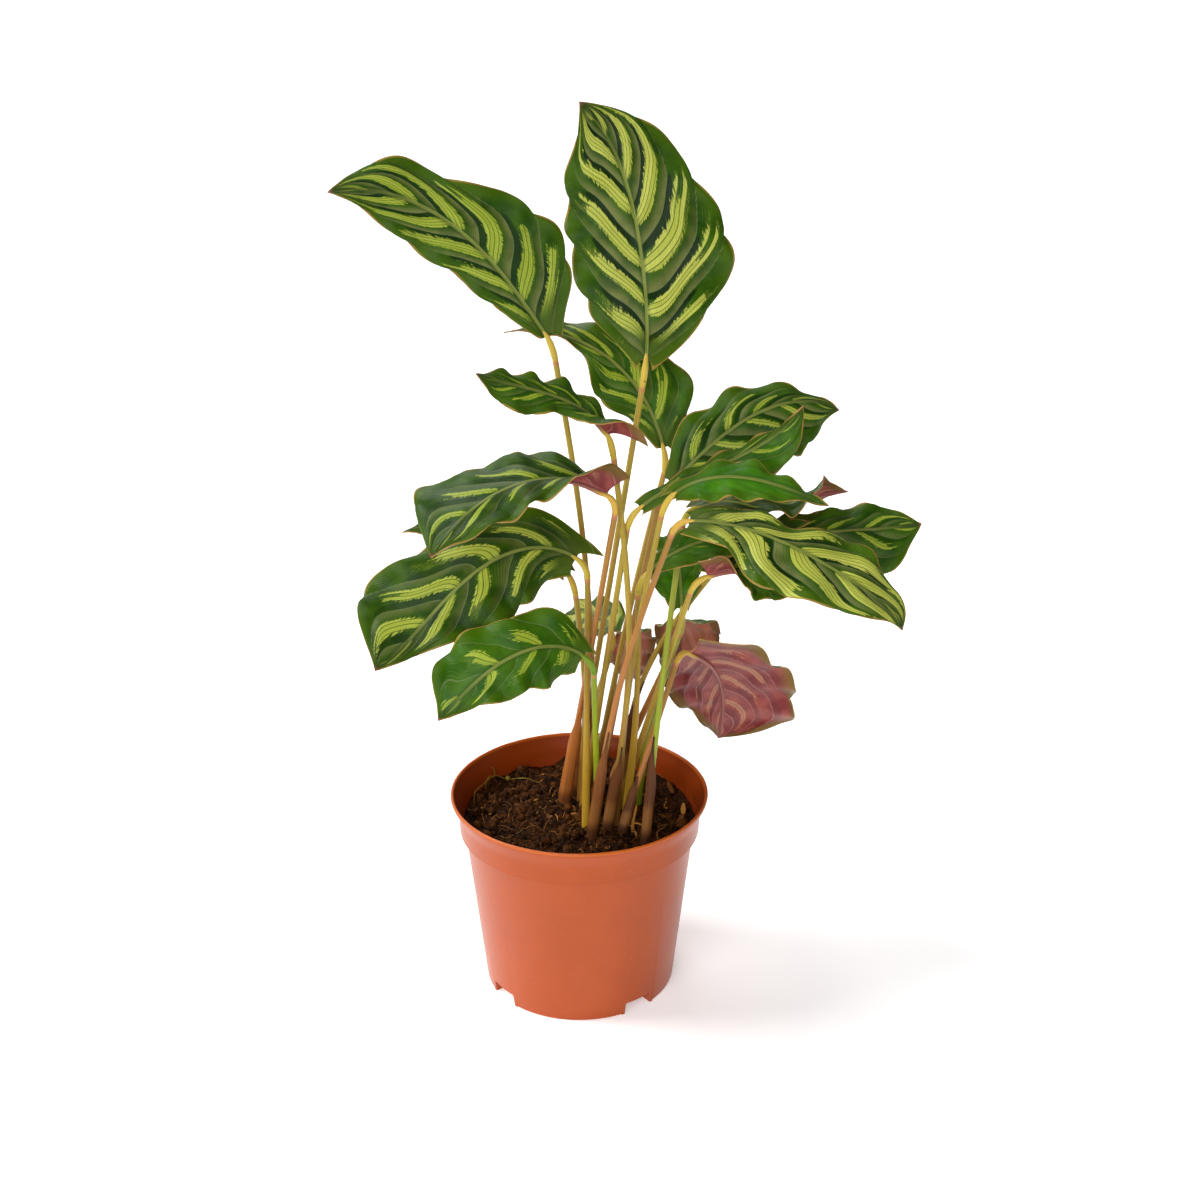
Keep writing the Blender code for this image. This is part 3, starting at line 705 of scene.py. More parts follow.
def leaf(foot, base, length, heading, pitch, facing, left, right, **more):
    """One leaf. Places, lengths and widths are in millimetres and directions in degrees.

    foot: x and y where the petiole leaves the soil; base: where the blade starts.
    heading: compass angle of the midrib from base to tip, counted from +X towards +Y.
    pitch: its rise at the base, middle and tip; droop: how much further the last bit bends down.
    facing: heading and rise that the top face turns to, at the base, middle and tip.
    left, right: half widths at the base and at each fifth of the length; the tip is a point.
    left_fold, right_fold: how far each half is folded up at the base, middle and tip.
    curl: the share of the length over which the fold at the base is undone.
    lobes: how far each half reaches back past the base, as a share of its width.
    phase: shift of the waves along the edges, as a share of one wave.
    bow: how far the petiole's middle is pushed along x and y.
    joint: length of the swollen joint below the blade, as a share of the usual one.
    stout: thickness of the petiole at its foot, as a share of the usual one.
    """
    values = dict(left_fold=(0, 0, 0), right_fold=(0, 0, 0), curl=0.3, lobes=(0.15, 0.15), droop=0,
                  bow=(0, 0), joint=1, stout=1, phase=0, foot=foot, base=base, length=length,
                  heading=heading, pitch=pitch, facing=facing, left=left, right=right)
    values.update(more)
    return values


def plain(width):
    """Half widths of an evenly rounded half."""
    return (0.3 * width, 0.85 * width, width, 0.86 * width, 0.55 * width)


LEAVES = (
    leaf((5.8, 22), (-13, 10, 309), 116, (-162, -171), (57, 41, -11), (TO_VIEWER, TO_VIEWER, (-90, 30)),
         (2, 11, 15, 17, 12), (6, 28, 27, 16, 15), phase=0.1, bow=(6, 0)),
    leaf((-2, 21), (29, 0, 301), 114, (79, 127, 178), (56, 72, 43), (TO_VIEWER, TO_VIEWER, (-80, 20)),
         (4, 24, 29, 28, 21), (2, 29, 39, 30, 20), stout=0.7),
    leaf((8, 29.5), (38, 22, 256), 98, (135, 178), (71, 31, -11), (TO_VIEWER, (-90, 50), (-90, 80)),
         (2, 11, 17, 5, 2), (4, 22, 19, 12, 12), bow=(-2, 0)),
    leaf((13, -13), (12.6, -9, 271), 66, (-159, -165), (60, 22, 24), ((-90, 60), (-90, 60), (-90, 50)),
         (15, 12, 6, 11, 9), (5, 10, 12, 9, 7), left_fold=(110, -20, -20), curl=0.4, lobes=(0.7, 0.1),
         bow=(8, -4), stout=0.75),
    leaf((-7, 15), (12, -19, 247.5), 92, (-157, -145), (39, -11, -51), ((-110, 70), (-130, 50), (-120, 40)),
         (12, 12, 12, 16, 10), (14, 24, 24, 24, 30), left_fold=(120, 0, 0), curl=0.4, lobes=(0.3, 0.1)),
    leaf((3, -8), (-1, -3, 213), 110, (-176, -132), (37, -35, -14), ((-90, 30), (-100, 30), (-100, 30)),
         (8, 20, 25, 20, 9), (8, 18, 23, 28, 31), lobes=(0.1, 0.35)),
    leaf((1, 14.5), (-5, 8, 202), 82, (168, 177), (54, 10, -20), ((-90, 60), (-90, 60), (-90, 60)),
         plain(12), plain(14), bow=(3, 0), stout=1.15),
    leaf((8.5, 3.5), (2, -28, 177), 76, (-162, -156), (43, -24, -41), ((-90, 30), (-100, 30), (-100, 30)),
         (8, 16, 17, 15, 8), (4, 16, 17, 20, 18), lobes=(0.1, 0.3), stout=0.75),
    leaf((8, 15), (41, 5, 245), 90, (25, 13), (38, 24, -31), ((-90, 30), (-90, 40), (-90, 40)),
         (4, 15, 16, 14, 6), (6, 16, 22, 24, 20), lobes=(0.05, 0.1)),
    leaf((17, -5), (41, -14, 246), 70, (-17, -9), (44, -6, -22), ((-90, 50), (-90, 50), (-90, 50)),
         (4, 5, 10, 7, 4), (3, 10, 10, 9, 4), lobes=(0.7, 0.1), bow=(-3, 0)),
    leaf((2, 7.5), (27, -8, 238), 84, (13, 9), (38, 21, 58), ((-90, 50), (-90, 50), (-90, 40)),
         (4, 4, 5, 5, 3), (3, 6, 10, 15, 12)),
    leaf((30, -25), (53, 12, 231), 79, (22, 25), (12, -7, 3), (UP, UP, (-90, 120)),
         plain(20), plain(18), right_fold=(0, 0, 100), bow=(-1, -2), stout=0.6),
    leaf((22, 28), (74, 20, 210.5), 84, (6, 5), (16, 1, 9), ((-90, 50), (-90, 50), (-90, 50)),
         (6, 10, 12, 13, 14), (6, 16, 20, 22, 20), bow=(-13, 0), stout=0.7),
    leaf((6, -18), (47, -26, 238), 104, (-23, -22), (9, -22, -30), ((-90, 50), (-80, 50), (-80, 50)),
         (5, 11, 10, 19, 14), (6, 12, 23, 18, 12), bow=(-5, 0), droop=40, stout=0.7),
    leaf((22, 0), (31, -5, 207), 78, (12, 11), (46, 6, 13), ((-90, 50), (-90, 60), (-90, 60)),
         (2, 7, 10, 11, 7), (2, 8, 10, 10, 4), bow=(2, 0)),
    leaf((28, 13), (47, 12, 183), 50, (95, 85), (60, 35, 0), (UP, UP, UP), plain(13), plain(10),
         bow=(-3, -2)),
    leaf((20, 11), (57, -5, 205), 46, (8, -5), (20, -15, -30), ((-90, 60), (-90, 60), (-90, 60)),
         plain(16), (10, 12, 14, 12, 8), right_fold=(110, 0, 0), curl=0.5),
    leaf((20, -15), (50.5, 12, 160.7), 94, (46, 100), (-25, -53, -62), ((80, 15), (90, 30), (90, 40)),
         (14, 22, 26, 22, 12), (14, 28, 33, 35, 32), lobes=(0.2, 0.3), stout=0.7),
    leaf((17, 36), (49, 33, 168), 66, (90, 90), (-8, -64, -46), (UP, (90, 40), (90, 40)),
         plain(12), plain(20), joint=1.4),
    leaf((6, 42), (27, 31, 164), 58, (88, 88), (-8, -60, -42), (UP, (90, 40), (90, 40)),
         (2, 7, 12, 13, 9), plain(9), joint=1.4),
    leaf((-3, 29), (15.5, 34, 162), 55, (101, 129), (5, -10, -30), ((-90, 50), (-90, 40), (-90, 40)),
         plain(17), plain(12)),
)


def smooth(value):
    """0 below 0, 1 above 1, and an even S between."""
    value = np.clip(value, 0, 1)
    return value * value * (3 - 2 * value)


def direction(heading, rise):
    """Unit vectors for compass headings and rises in degrees."""
    heading, rise = np.radians(heading), np.radians(rise)
    return np.stack([np.cos(rise) * np.cos(heading), np.cos(rise) * np.sin(heading), np.sin(rise)], -1)


def bend(values, along):
    """The smooth curve through two or three values spread evenly along the leaf."""
    if len(values) == 2:
        return values[0] + (values[1] - values[0]) * along
    start, middle, end = values
    return (start * (1 - along) * (1 - 2 * along) + middle * 4 * along * (1 - along)
            + end * along * (2 * along - 1))


def midrib_direction(one, along):
    rise = bend(one["pitch"], along) - one["droop"] * smooth((along - 0.85) / 0.15)
    return direction(bend(one["heading"], along), rise)


def midrib(one, along, steps=120):
    """Points on the midrib, by walking along its direction in small steps."""
    middles = (np.arange(steps) + 0.5) / steps
    walk = np.cumsum(midrib_direction(one, middles) * one["length"] / steps, axis=0)
    walk = np.vstack([np.zeros(3), walk]) + np.array(one["base"])
    ends = np.linspace(0, 1, steps + 1)
    return np.stack([np.interp(along, ends, walk[:, axis]) for axis in range(3)], -1)


def top_normal(one, along, forward):
    """The way that the top face looks, square to the midrib."""
    at_base, at_middle, at_tip = (direction(*way) for way in one["facing"])
    first, second = smooth(2 * along)[:, None], smooth(2 * along - 1)[:, None]
    normal = at_base * (1 - first) + at_middle * (first - second) + at_tip * second
    normal = normal - forward * (normal * forward).sum(1)[:, None]
    return normal / np.linalg.norm(normal, axis=1)[:, None]


def half_width(widths, along):
    """A smooth curve through a half's widths at each fifth of the length, ending in a point."""
    knots = np.linspace(0, 1, 6)
    heights = np.array(tuple(widths) + (0,), dtype=float)
    slopes = np.gradient(heights, knots)
    slopes[-1] = min(slopes[-1], -4 * heights[-2])
    piece = np.clip((along / 0.2).astype(int), 0, 4)
    part = (along - knots[piece]) / 0.2
    return ((2 * part ** 3 - 3 * part ** 2 + 1) * heights[piece]
            + (part ** 3 - 2 * part ** 2 + part) * 0.2 * slopes[piece]
            + (3 * part ** 2 - 2 * part ** 3) * heights[piece + 1]
            + (part ** 3 - part ** 2) * 0.2 * slopes[piece + 1])


def blade_surface(one, along, across):
    """Points of a blade in millimetres; across runs from -1 at the left edge to 1 at the right."""
    forward = midrib_direction(one, along)
    up = top_normal(one, along, forward)
    right = np.cross(forward, up)
    is_right = across >= 0
    side = np.where(is_right, 1.0, -1.0)
    out = np.abs(across)
    width = np.where(is_right, half_width(one["right"], along), half_width(one["left"], along))
    widest = np.where(is_right, max(one["right"]), max(one["left"]))
    lobe = np.where(is_right, one["lobes"][1], one["lobes"][0])
    fold = np.zeros(len(along))
    for mask, folds in ((is_right, one["right_fold"]), (~is_right, one["left_fold"])):
        base, middle, tip = folds
        angle = middle + (base - middle) * (1 - smooth(along / one["curl"]))
        angle = angle + (tip - middle) * smooth(2 * along - 1)
        fold = np.where(mask, angle, fold)
    fold, cup = np.radians(fold), math.radians(CUP_DEGREES)
    sideways = width * (np.sin(fold + cup * out) - np.sin(fold)) / cup
    upward = width * (np.cos(fold) - np.cos(fold + cup * out)) / cup
    turns = WAVES_PER_SIDE * along + one["phase"] + np.where(is_right, 0.5, 0)
    wave = WAVE_HEIGHT / MM * out ** 1.6 * np.sin(2 * math.pi * turns) * np.sqrt(np.sin(math.pi * along))
    beside = np.clip((out * width - 2) / (np.maximum(width, 3) - 2), 0, 1)
    back = lobe * widest * np.clip(1 - along / LOBE_REACH, 0, 1) ** 2 * beside ** 1.5
    sideways = sideways - np.sin(fold + cup * out) * wave
    upward = upward + np.cos(fold + cup * out) * wave
    return (midrib(one, along) + right * (side * sideways)[:, None] + up * upward[:, None]
            - forward * back[:, None])


# Petioles rise from the peat, thick and brownish at the foot and slim and olive above. The last
# stretch below the blade is a swollen yellow joint with a reddish ring, and each runs on under its
# blade as the midrib.
UPRIGHT_ABOVE_SOIL = 3 * MM
ROOT_DEPTH = 14 * MM
FOOT_THICKNESS = 4.0 * MM
STALK_THICKNESS = 2.6 * MM
FOOT_LENGTH = 70 * MM
JOINT_LENGTH = 13 * MM
JOINT_THICKNESS = 3.3 * MM
JOINT_SWELL = (0.7, 1.0, 0.9, 0.4, -0.9)
JOINT_SLIMMING = 0.5
JOINT_COLOUR_FADE = 8
BLADE_GAP = 0.7 * MM
STALK_SIDES = 14
STEPS_PER_STRETCH = 5
MIDRIB_POINTS = 26
MIDRIB_END = 0.93
MIDRIB_THICKNESS = 2.1 * MM
MIDRIB_TAPER = 0.8
MIDRIB_BELOW_BLADE = 0.1 * MM
STALK_COLOURS = {
    # kind: foot, middle, top, joint
    "olive": (srgb(152, 104, 44), srgb(172, 142, 44), srgb(178, 156, 56), srgb(206, 176, 66)),
    "gold": (srgb(204, 160, 44), srgb(184, 146, 40), srgb(160, 136, 44), srgb(190, 170, 60)),
    "copper": (srgb(190, 122, 70), srgb(184, 118, 56), srgb(166, 120, 48), srgb(206, 168, 66)),
    "lime": (srgb(206, 214, 52), srgb(168, 188, 40), srgb(134, 156, 36), srgb(104, 136, 24)),
    "green": (srgb(160, 186, 28), srgb(150, 168, 36), srgb(146, 154, 44), srgb(180, 168, 54)),
    "brown": (srgb(150, 98, 44), srgb(162, 116, 44), srgb(156, 122, 44), srgb(104, 110, 30)),
}
STALKS = {
    # kind: the leaves that have it
    "olive": (1, 2, 3, 4, 7, 10, 11, 13, 17, 21), "gold": (6, 15, 20), "copper": (5, 14, 18, 19),
    "lime": (8,), "green": (12, 16), "brown": (9,),
}


def petiole_route(one):
    """Centre points and thicknesses of a petiole, from its foot in the soil to the blade."""
    base = np.array(one["base"], dtype=float)
    forward = midrib_direction(one, np.array([0.0]))[0]
    soil = SOIL_LEVEL / MM
    foot = np.array([one["foot"][0], one["foot"][1], soil + UPRIGHT_ABOVE_SOIL / MM])
    half = 0.5 * JOINT_LENGTH / MM * one["joint"]
    elbow = base - forward * half
    stalk_end = elbow - (elbow - foot) / np.linalg.norm(elbow - foot) * half
    part = np.linspace(0, 1, 6)[:, None]
    push = np.array([one["bow"][0], one["bow"][1], 0.0])
    stalk = foot + (stalk_end - foot) * part + push * np.sin(math.pi * part)
    end = base - forward * BLADE_GAP / MM
    lead = stalk[-1] - stalk[-2]
    elbow = stalk[-1] + lead / np.linalg.norm(lead) * half
    turn = np.linspace(0, 1, len(JOINT_SWELL) + 1)[1:, None]
    joint = stalk[-1] * (1 - turn) ** 2 + 2 * elbow * turn * (1 - turn) + end * turn ** 2
    points = np.vstack([foot - (0, 0, (ROOT_DEPTH + UPRIGHT_ABOVE_SOIL) / MM), stalk, joint])
    risen = np.clip((points[:, 2] - foot[2]) / (FOOT_LENGTH / MM), 0, 1)
    at_foot = FOOT_THICKNESS * one["stout"]
    thickness = at_foot + (STALK_THICKNESS - at_foot) * smooth(risen)
    swell = np.zeros(len(points))
    swell[-len(JOINT_SWELL):] = JOINT_SWELL
    thickness = thickness + (JOINT_THICKNESS - STALK_THICKNESS) * swell
    return points * MM, thickness


def stalk(colours):
    """Smooth skin with fine lengthwise streaks. Height is 0 at the foot, 1 at the blade, 2 at its tip."""
    finish = Finish("stalk", 0.4, 0.3)
    height = finish.attribute("height")
    place = finish.place()
    low, middle, top, swollen = colours
    colour = finish.mix(height.rise(0.05, 0.45), low, middle)
    colour = finish.mix(height.rise(0.45, 0.9), colour, top)
    streaks = finish.cloud(finish.joined(finish.attribute("around") * 2.2, height * 3), 1, 3)
    colour = finish.mix(streaks.rise(0.35, 0.7) * 0.35, colour, srgb(108, 76, 32))
    blush = finish.cloud(place, 14 * MM, 2).rise(0.5, 0.75)
    colour = finish.mix(blush * 0.3, colour, srgb(176, 116, 76))
    joint = finish.attribute("joint")
    ring = joint.hump(0.0, 0.0, 0.16) * height.rise(0.5, 0.8)
    colour = finish.mix(ring * 0.75, colour, srgb(196, 120, 84))
    colour = finish.mix(joint.rise(0.0, 0.14) * 0.85, colour, swollen)
    colour = finish.mix(height.rise(1.0, 1.12), colour, srgb(146, 88, 76))
    return finish.set(colour, streaks * 0.2 + 0.32, streaks, 0.06 * MM)


def make_stalk(number, one, material):
    points, thickness = petiole_route(one)
    joint_part = thickness[-len(JOINT_SWELL):]
    joint_part += JOINT_SLIMMING * (STALK_THICKNESS - joint_part)
    thickness[-1] = MIDRIB_THICKNESS
    lower = smoothed(points, STEPS_PER_STRETCH)
    lower_thickness = smoothed(thickness, STEPS_PER_STRETCH)
    share = np.linspace(0.0, MIDRIB_END, MIDRIB_POINTS)
    rib_thickness = MIDRIB_THICKNESS * (1 - MIDRIB_TAPER * share / MIDRIB_END)
    rib = midrib(one, share) * MM
    up = top_normal(one, share, midrib_direction(one, share))
    sunk = -MIDRIB_BELOW_BLADE - rib_thickness / 2
    rib = rib + up * sunk[:, None]
    route = np.vstack([lower, rib[1:]])
    radii = np.concatenate([lower_thickness, rib_thickness[1:]]) / 2
    length = np.concatenate([[0], np.cumsum(np.linalg.norm(np.diff(route, axis=0), axis=1))])
    base = length[len(lower) - 1]
    joint_start = length[len(lower) - 1 - STEPS_PER_STRETCH * len(JOINT_SWELL)]
    bm = bmesh.new()
    layers = {name: bm.verts.layers.float.new(name) for name in ("height", "around", "joint")}
    for corner, row, turn in thread(bm, route, radii, STALK_SIDES):
        above = max(length[row] - base, 0) / (length[-1] - base)
        corner[layers["height"]] = min(length[row] / base, 1) + above
        corner[layers["around"]] = turn
        fading = 1 - min(above * JOINT_COLOUR_FADE, 1)
        corner[layers["joint"]] = (length[row] - joint_start) / (base - joint_start) * fading
    close_seams(bm)
    return mesh_piece(f"leaf_{number:02d}_stalk", bm, material)


for kind, numbers in STALKS.items():
    finish = stalk(STALK_COLOURS[kind])
    for number in numbers:
        fitted(make_stalk(number, LEAVES[number - 1], finish), f"leaf_{number:02d}_petiole")

# Sheaths are the dry, papery bases of the leaves. Each wraps its petiole from below the peat's surface
# and narrows upwards to a dark point.
SHEATH_THICKNESS = 0.5 * MM
SHEATH_ROOM = 0.66 * MM
SHEATH_ROWS = 40
SHEATH_COLUMNS = 22
SHEATH_TAPER_START = 0.35
SHEATH_TIP_SHARE = 0.03
SHEATH_BURIED_SHARE = 1 / 7
SHEATH_RIPPLE = 0.18
SHEATHS = {
    # leaf: height above the peat, degrees of wrap to each side, direction of the gap, freshness of colour
    5: (60, 150, 90, 1.0), 14: (55, 140, 80, 0.4), 4: (45, 130, 100, 0.2), 18: (26, 140, 60, 0.15),
    12: (50, 150, 60, 0.1), 13: (60, 140, 90, 0.05), 2: (50, 130, 120, 0.6), 8: (22, 130, 60, 0.5),
}


def thickened(sheet, thickness):
    """Gives a sheet its thickness, half of it on each side."""
    solid = sheet.modifiers.new("thickness", "SOLIDIFY")
    solid.thickness = thickness
    solid.offset = 0
    return solid


def papery():
    """Dry sheath: brown with paler lengthwise fibres, pinkish on the freshest ones, dark at the tip."""
    finish = Finish("dry sheath", 0.5, 0.3)
    up, around, tone = (finish.attribute(name) for name in ("up", "around", "tone"))
    colour = finish.mix(tone, srgb(74, 38, 12), srgb(182, 108, 46))
    ribs = finish.cloud(finish.joined(around * 16, up * 1.5, tone * 9), 1, 3, 0.6)
    colour = finish.mix(ribs.rise(0.45, 0.7) * 0.4, colour, srgb(152, 98, 48))
    colour = finish.mix(ribs.rise(0.5, 0.3) * 0.5, colour, srgb(52, 26, 10))
    colour = finish.mix(up.rise(0.75, 1) * (1 - tone) * 0.8, colour, srgb(52, 36, 28))
    colour = finish.mix(up.hump(0.3, 0.05, 0.12) * (1 - tone) * 0.6, colour, srgb(168, 116, 58))
    colour = finish.mix(up.rise(0.26, 0.14) * 0.7, colour, srgb(56, 28, 10))
    return finish.set(colour, ribs * 0.3 + 0.45, ribs, 0.25 * MM)


def make_sheath(number, one, values, material):
    height, wrap, opening, freshness = values
    points, thickness = petiole_route(one)
    stalk_part = slice(0, -len(JOINT_SWELL))
    centres, thickness = points[stalk_part] / MM, thickness[stalk_part] / MM
    climb = centres[:, 2]
    forward = np.gradient(centres, climb, axis=0)
    bottom, top = climb[0] + 1, SOIL_LEVEL / MM + height
    bm = bmesh.new()
    layers = {name: bm.verts.layers.float.new(name) for name in ("up", "around", "tone")}
    bmesh.ops.create_grid(bm, x_segments=SHEATH_ROWS, y_segments=SHEATH_COLUMNS, size=1)
    for corner in bm.verts:
        up, turn = (corner.co.x + 1) / 2, corner.co.y
        here = float(np.interp(up, (0, SHEATH_BURIED_SHARE, 1), (bottom, climb[1], top)))
        centre, lean = (Vector([float(np.interp(here, climb, track[:, axis])) for axis in range(3)])
                        for track in (centres, forward))
        radius = float(np.interp(here, climb, thickness)) / 2 + (SHEATH_ROOM + SHEATH_THICKNESS / 2) / MM
        narrowing = float(smooth((up - SHEATH_TAPER_START) / (1 - SHEATH_TAPER_START)))
        spread = math.radians(wrap) * (1 - narrowing * (1 - SHEATH_TIP_SHARE))
        angle = math.radians(opening + 180) + spread * turn
        outward = Vector((math.cos(angle), math.sin(angle), 0))
        outward -= lean * outward.dot(lean) / lean.length_squared
        ripple = SHEATH_RIPPLE * noise.noise(Vector((turn * 5, up * 3, number))) * abs(turn)
        corner.co = (centre + outward.normalized() * (radius + ripple)) * MM
        corner[layers["up"]] = up
        corner[layers["around"]] = turn
        corner[layers["tone"]] = freshness
    sheath = mesh_piece(f"leaf_{number:02d}_dry_sheath", bm, material)
    thickened(sheath, SHEATH_THICKNESS)
    return sheath


papery_finish = papery()
for number, values in SHEATHS.items():
    sheath = make_sheath(number, LEAVES[number - 1], values, papery_finish)
    fitted(sheath, f"leaf_{number:02d}_sheath")

# Blades. The top is dark green with pale, feathered bands between its slanting side veins, a bright
# green margin and a tan edge; the underside is purple with the same bands. Between two side veins the
# blade bulges a little, so that light breaks on the creases.
BLADE_THICKNESS = 0.5 * MM
BLADE_ROWS = 120
BLADE_COLUMNS = 44
CREASE_PHASE = 0.68
STRIPS = 8.0
VEIN_SLANT = 0.28
VEIN_CURVE = 0.12
VEIN_WANDER = 0.28
HALVES_SHIFT = 0.12
QUILT_HEIGHT = 1.4
QUILT_FLAT_BESIDE_RIB = 3
QUILT_FULL_WIDTH = 22
SCALLOP = 0.14
EDGE_RIPPLE = 0.45
RIPPLES_ALONG = 22
RIPPLES_ACROSS = 3
FLAT_ENDS = 12
NEIGHBOUR_STEP = 0.004
BLADE_LOOKS = {
    # leaf: spacing of side veins, shift and slant of the bands; share of pale, cream, bright green;
    # strength of the painted sheen and painted shade on the top, and above 1.05 of the painted light on the
    # underside
    1: (0.175, 0.20, 1.0, 0.90, 0.25, 0.10, 1.0), 2: (0.170, 0.10, 1.0, 0.95, 0.7, 0.05, 1.0),
    3: (0.170, 0.40, 1.0, 0.75, 0.2, 0.30, 0.5), 4: (0.190, 0.70, 1.0, 0.55, 0.1, 0.25, 0.5),
    5: (0.195, 0.30, 1.0, 0.55, 0.2, 0.00, 0.4), 6: (0.200, 0.50, 0.9, 0.78, 0.4, 0.00, 0.45),
    7: (0.170, 0.90, 1.0, 0.60, 0.1, 0.20, 0.5), 8: (0.260, 0.10, 0.8, 0.62, 0.2, 0.35, 0.1),
    9: (0.190, 0.60, 1.0, 0.58, 0.4, 0.15, 1.0), 10: (0.170, 0.20, 1.0, 0.00, 0.0, 1.00, 0.0),
    11: (0.190, 0.80, 1.0, 0.55, 0.2, 0.50, 0.3), 12: (0.200, 0.40, 1.0, 0.55, 0.2, 0.20, 0.6),
    13: (0.210, 0.20, 1.0, 0.55, 0.2, 0.15, 0.6), 14: (0.215, 0.05, 1.0, 1.25, 0.7, 0.05, 0.9),
    15: (0.170, 0.60, 1.0, 0.20, 0.1, 0.60, 0.2), 16: (0.180, 0.50, 1.0, 0.00, 0.0, 0.90, 0.1),
    17: (0.170, 0.90, 1.0, 0.55, 0.1, 0.40, 0.4), 18: (0.230, 0.30, 1.5, 0.50, 0.3, 0.30, 0.6),
    19: (0.230, 0.70, 2.0, 0.50, 0.1, 0.30, 1.4), 20: (0.230, 0.10, 2.0, 0.50, 0.1, 0.30, 1.6),
    21: (0.450, 0.95, 1.0, 1.30, 0.7, 0.20, 1.0),
}


def band_mask(finish):
    """The pale bands, one after each side vein, made of parallel strips with comb-like ends.

    Gives how much of the band shows at each point, and a random value for each strip.
    """
    along, across, vein, beside, pale = (finish.attribute(name) for name in
                                         ("along", "across", "vein", "beside", "pale"))
    out = across.size()
    side = across.maths("SIGN")
    phase = vein.fraction()
    strip = vein * STRIPS
    luck = finish.chance(finish.joined(vein.maths("FLOOR"), side, pale * 7))
    strip_luck = finish.chance(finish.joined(strip.maths("FLOOR"), side * 3, pale * 5))
    half = pale * (luck * 0.06 + out.rise(0.0, 0.22) * 0.09 - out.rise(0.3, 0.95) * 0.1 + 0.13)
    teeth = finish.cloud(finish.joined(beside * 1.7, vein * 1.0, side * 40), 1, 1)
    end = pale * 0.5 + strip_luck * 0.26 + luck * 0.1
    inside = half - (phase - 0.25).size() + (teeth - 0.5) * (out * 0.26 + 0.16)
    inside = inside + (strip_luck - 0.5) * out.rise(0.1, 0.6) * 0.16
    inside = inside - (out - end).rise(0.0, 0.2) * 0.4 - beside.rise(1.6, 0.6) * 0.06
    lines = (strip + 0.5).fraction().hump(0.5, 0.04, 0.08)
    rungs = (beside * 1.1 + strip_luck * 3).fraction().hump(0.5, 0.03, 0.1) * teeth.rise(0.3, 0.6)
    mask = inside.rise(0.0, 0.02) * (1 - lines * 0.9) * (1 - rungs * 0.5)
    return mask * along.rise(0.05, 0.16) * along.rise(0.985, 0.93) * pale.rise(0.02, 0.12), strip_luck


def blade_relief(finish):
    """Fine veins that run beside the main ones, and the small cells of the leaf's skin."""
    fine = (finish.attribute("vein") * 16).fraction().hump(0.5, 0.05, 0.3)
    cells = finish.cloud(finish.place(), 0.45 * MM, 1)
    return fine * 0.7 + cells * 0.5


def blade_top():
    """Dark green skin with the pale bands and a yellow midrib, with painted light and shade: a pale painted
    sheen beside the creases, dark blotches that are partly painted shade, and painted shade beside the
    midrib.
    """
    finish = Finish("leaf top", 0.3, 0.13)
    along, across, vein, beside, edge, tone, painted_light_and_shade, cream = (
        finish.attribute(name) for name in
        ("along", "across", "vein", "beside", "edge", "tone", "painted_light_and_shade", "cream"))
    out = across.size()
    phase = vein.fraction()
    mask, strip_luck = band_mask(finish)
    cloudy = finish.cloud(finish.place(), 9 * MM, 3)
    colour = finish.mix(cloudy.rise(0.35, 0.65), srgb(32, 62, 3), srgb(52, 82, 6))
    # A very dark blotch past each pale band: partly the leaf's own dark marking and partly painted shade on
    # the slope that faces away from the light.
    blotch_and_painted_shade = (1 - ((phase - 0.58) * 7.0) ** 2 - ((out - 0.33) * 2.6) ** 2).rise(0, 0.3)
    colour = finish.mix(blotch_and_painted_shade * painted_light_and_shade * (1 - tone), colour, srgb(6, 26, 3))
    # Painted reflection: a pale grey sheen on the slope past each crease that faces the light, strongest at
    # the crease and fading towards the next band.
    painted_sheen = phase.rise(CREASE_PHASE - 0.01, CREASE_PHASE + 0.01) * phase.rise(1.04, 0.7)
    painted_sheen = painted_sheen * painted_light_and_shade * out.rise(0.98, 0.5) * (cloudy.rise(0.3, 0.6) * 0.5 + 0.5)
    colour = finish.mix(painted_sheen * 0.85, colour, srgb(116, 116, 66))
    bright = finish.mix(cloudy.rise(0.3, 0.7), srgb(50, 106, 0), srgb(68, 126, 4))
    colour = finish.mix(tone * 0.9, colour, bright)
    colour = finish.mix(along.rise(0.14, 0.0) * 0.5, colour, srgb(86, 100, 30))
    colour = finish.mix(edge.rise(6.0, 0.5) * 0.6, colour, srgb(70, 98, 6))
    pale_green = finish.mix(strip_luck, srgb(124, 148, 26), srgb(156, 174, 52))
    pale_cream = finish.mix(strip_luck, srgb(184, 186, 78), srgb(204, 202, 98))
    colour = finish.mix(mask * 0.9, colour, finish.mix(cream, pale_green, pale_cream))
    crease = (phase - CREASE_PHASE).size().rise(0.03, 0.008) * beside.rise(0.5, 2)
    colour = finish.mix(crease * 0.45, colour, srgb(112, 128, 78))
    # Painted shade: darker green in a narrow strip on each side of the midrib.
    colour = finish.mix(beside.rise(2.2, 0.9) * 0.4, colour, srgb(32, 56, 18))
    colour = finish.mix(beside.rise(0.85, 0.5) * along.rise(1.0, 0.6) * 0.9, colour, srgb(122, 132, 58))
    colour = finish.mix(edge.rise(0.6, 0.25) * 0.7, colour, srgb(168, 132, 62))
    colour = finish.mix(along.rise(0.975, 0.995) * 0.9, colour, srgb(140, 84, 62))
    rough = cloudy * 0.16 + painted_sheen * 0.14 + 0.22
    return finish.set(colour, rough, blade_relief(finish), 0.09 * MM)


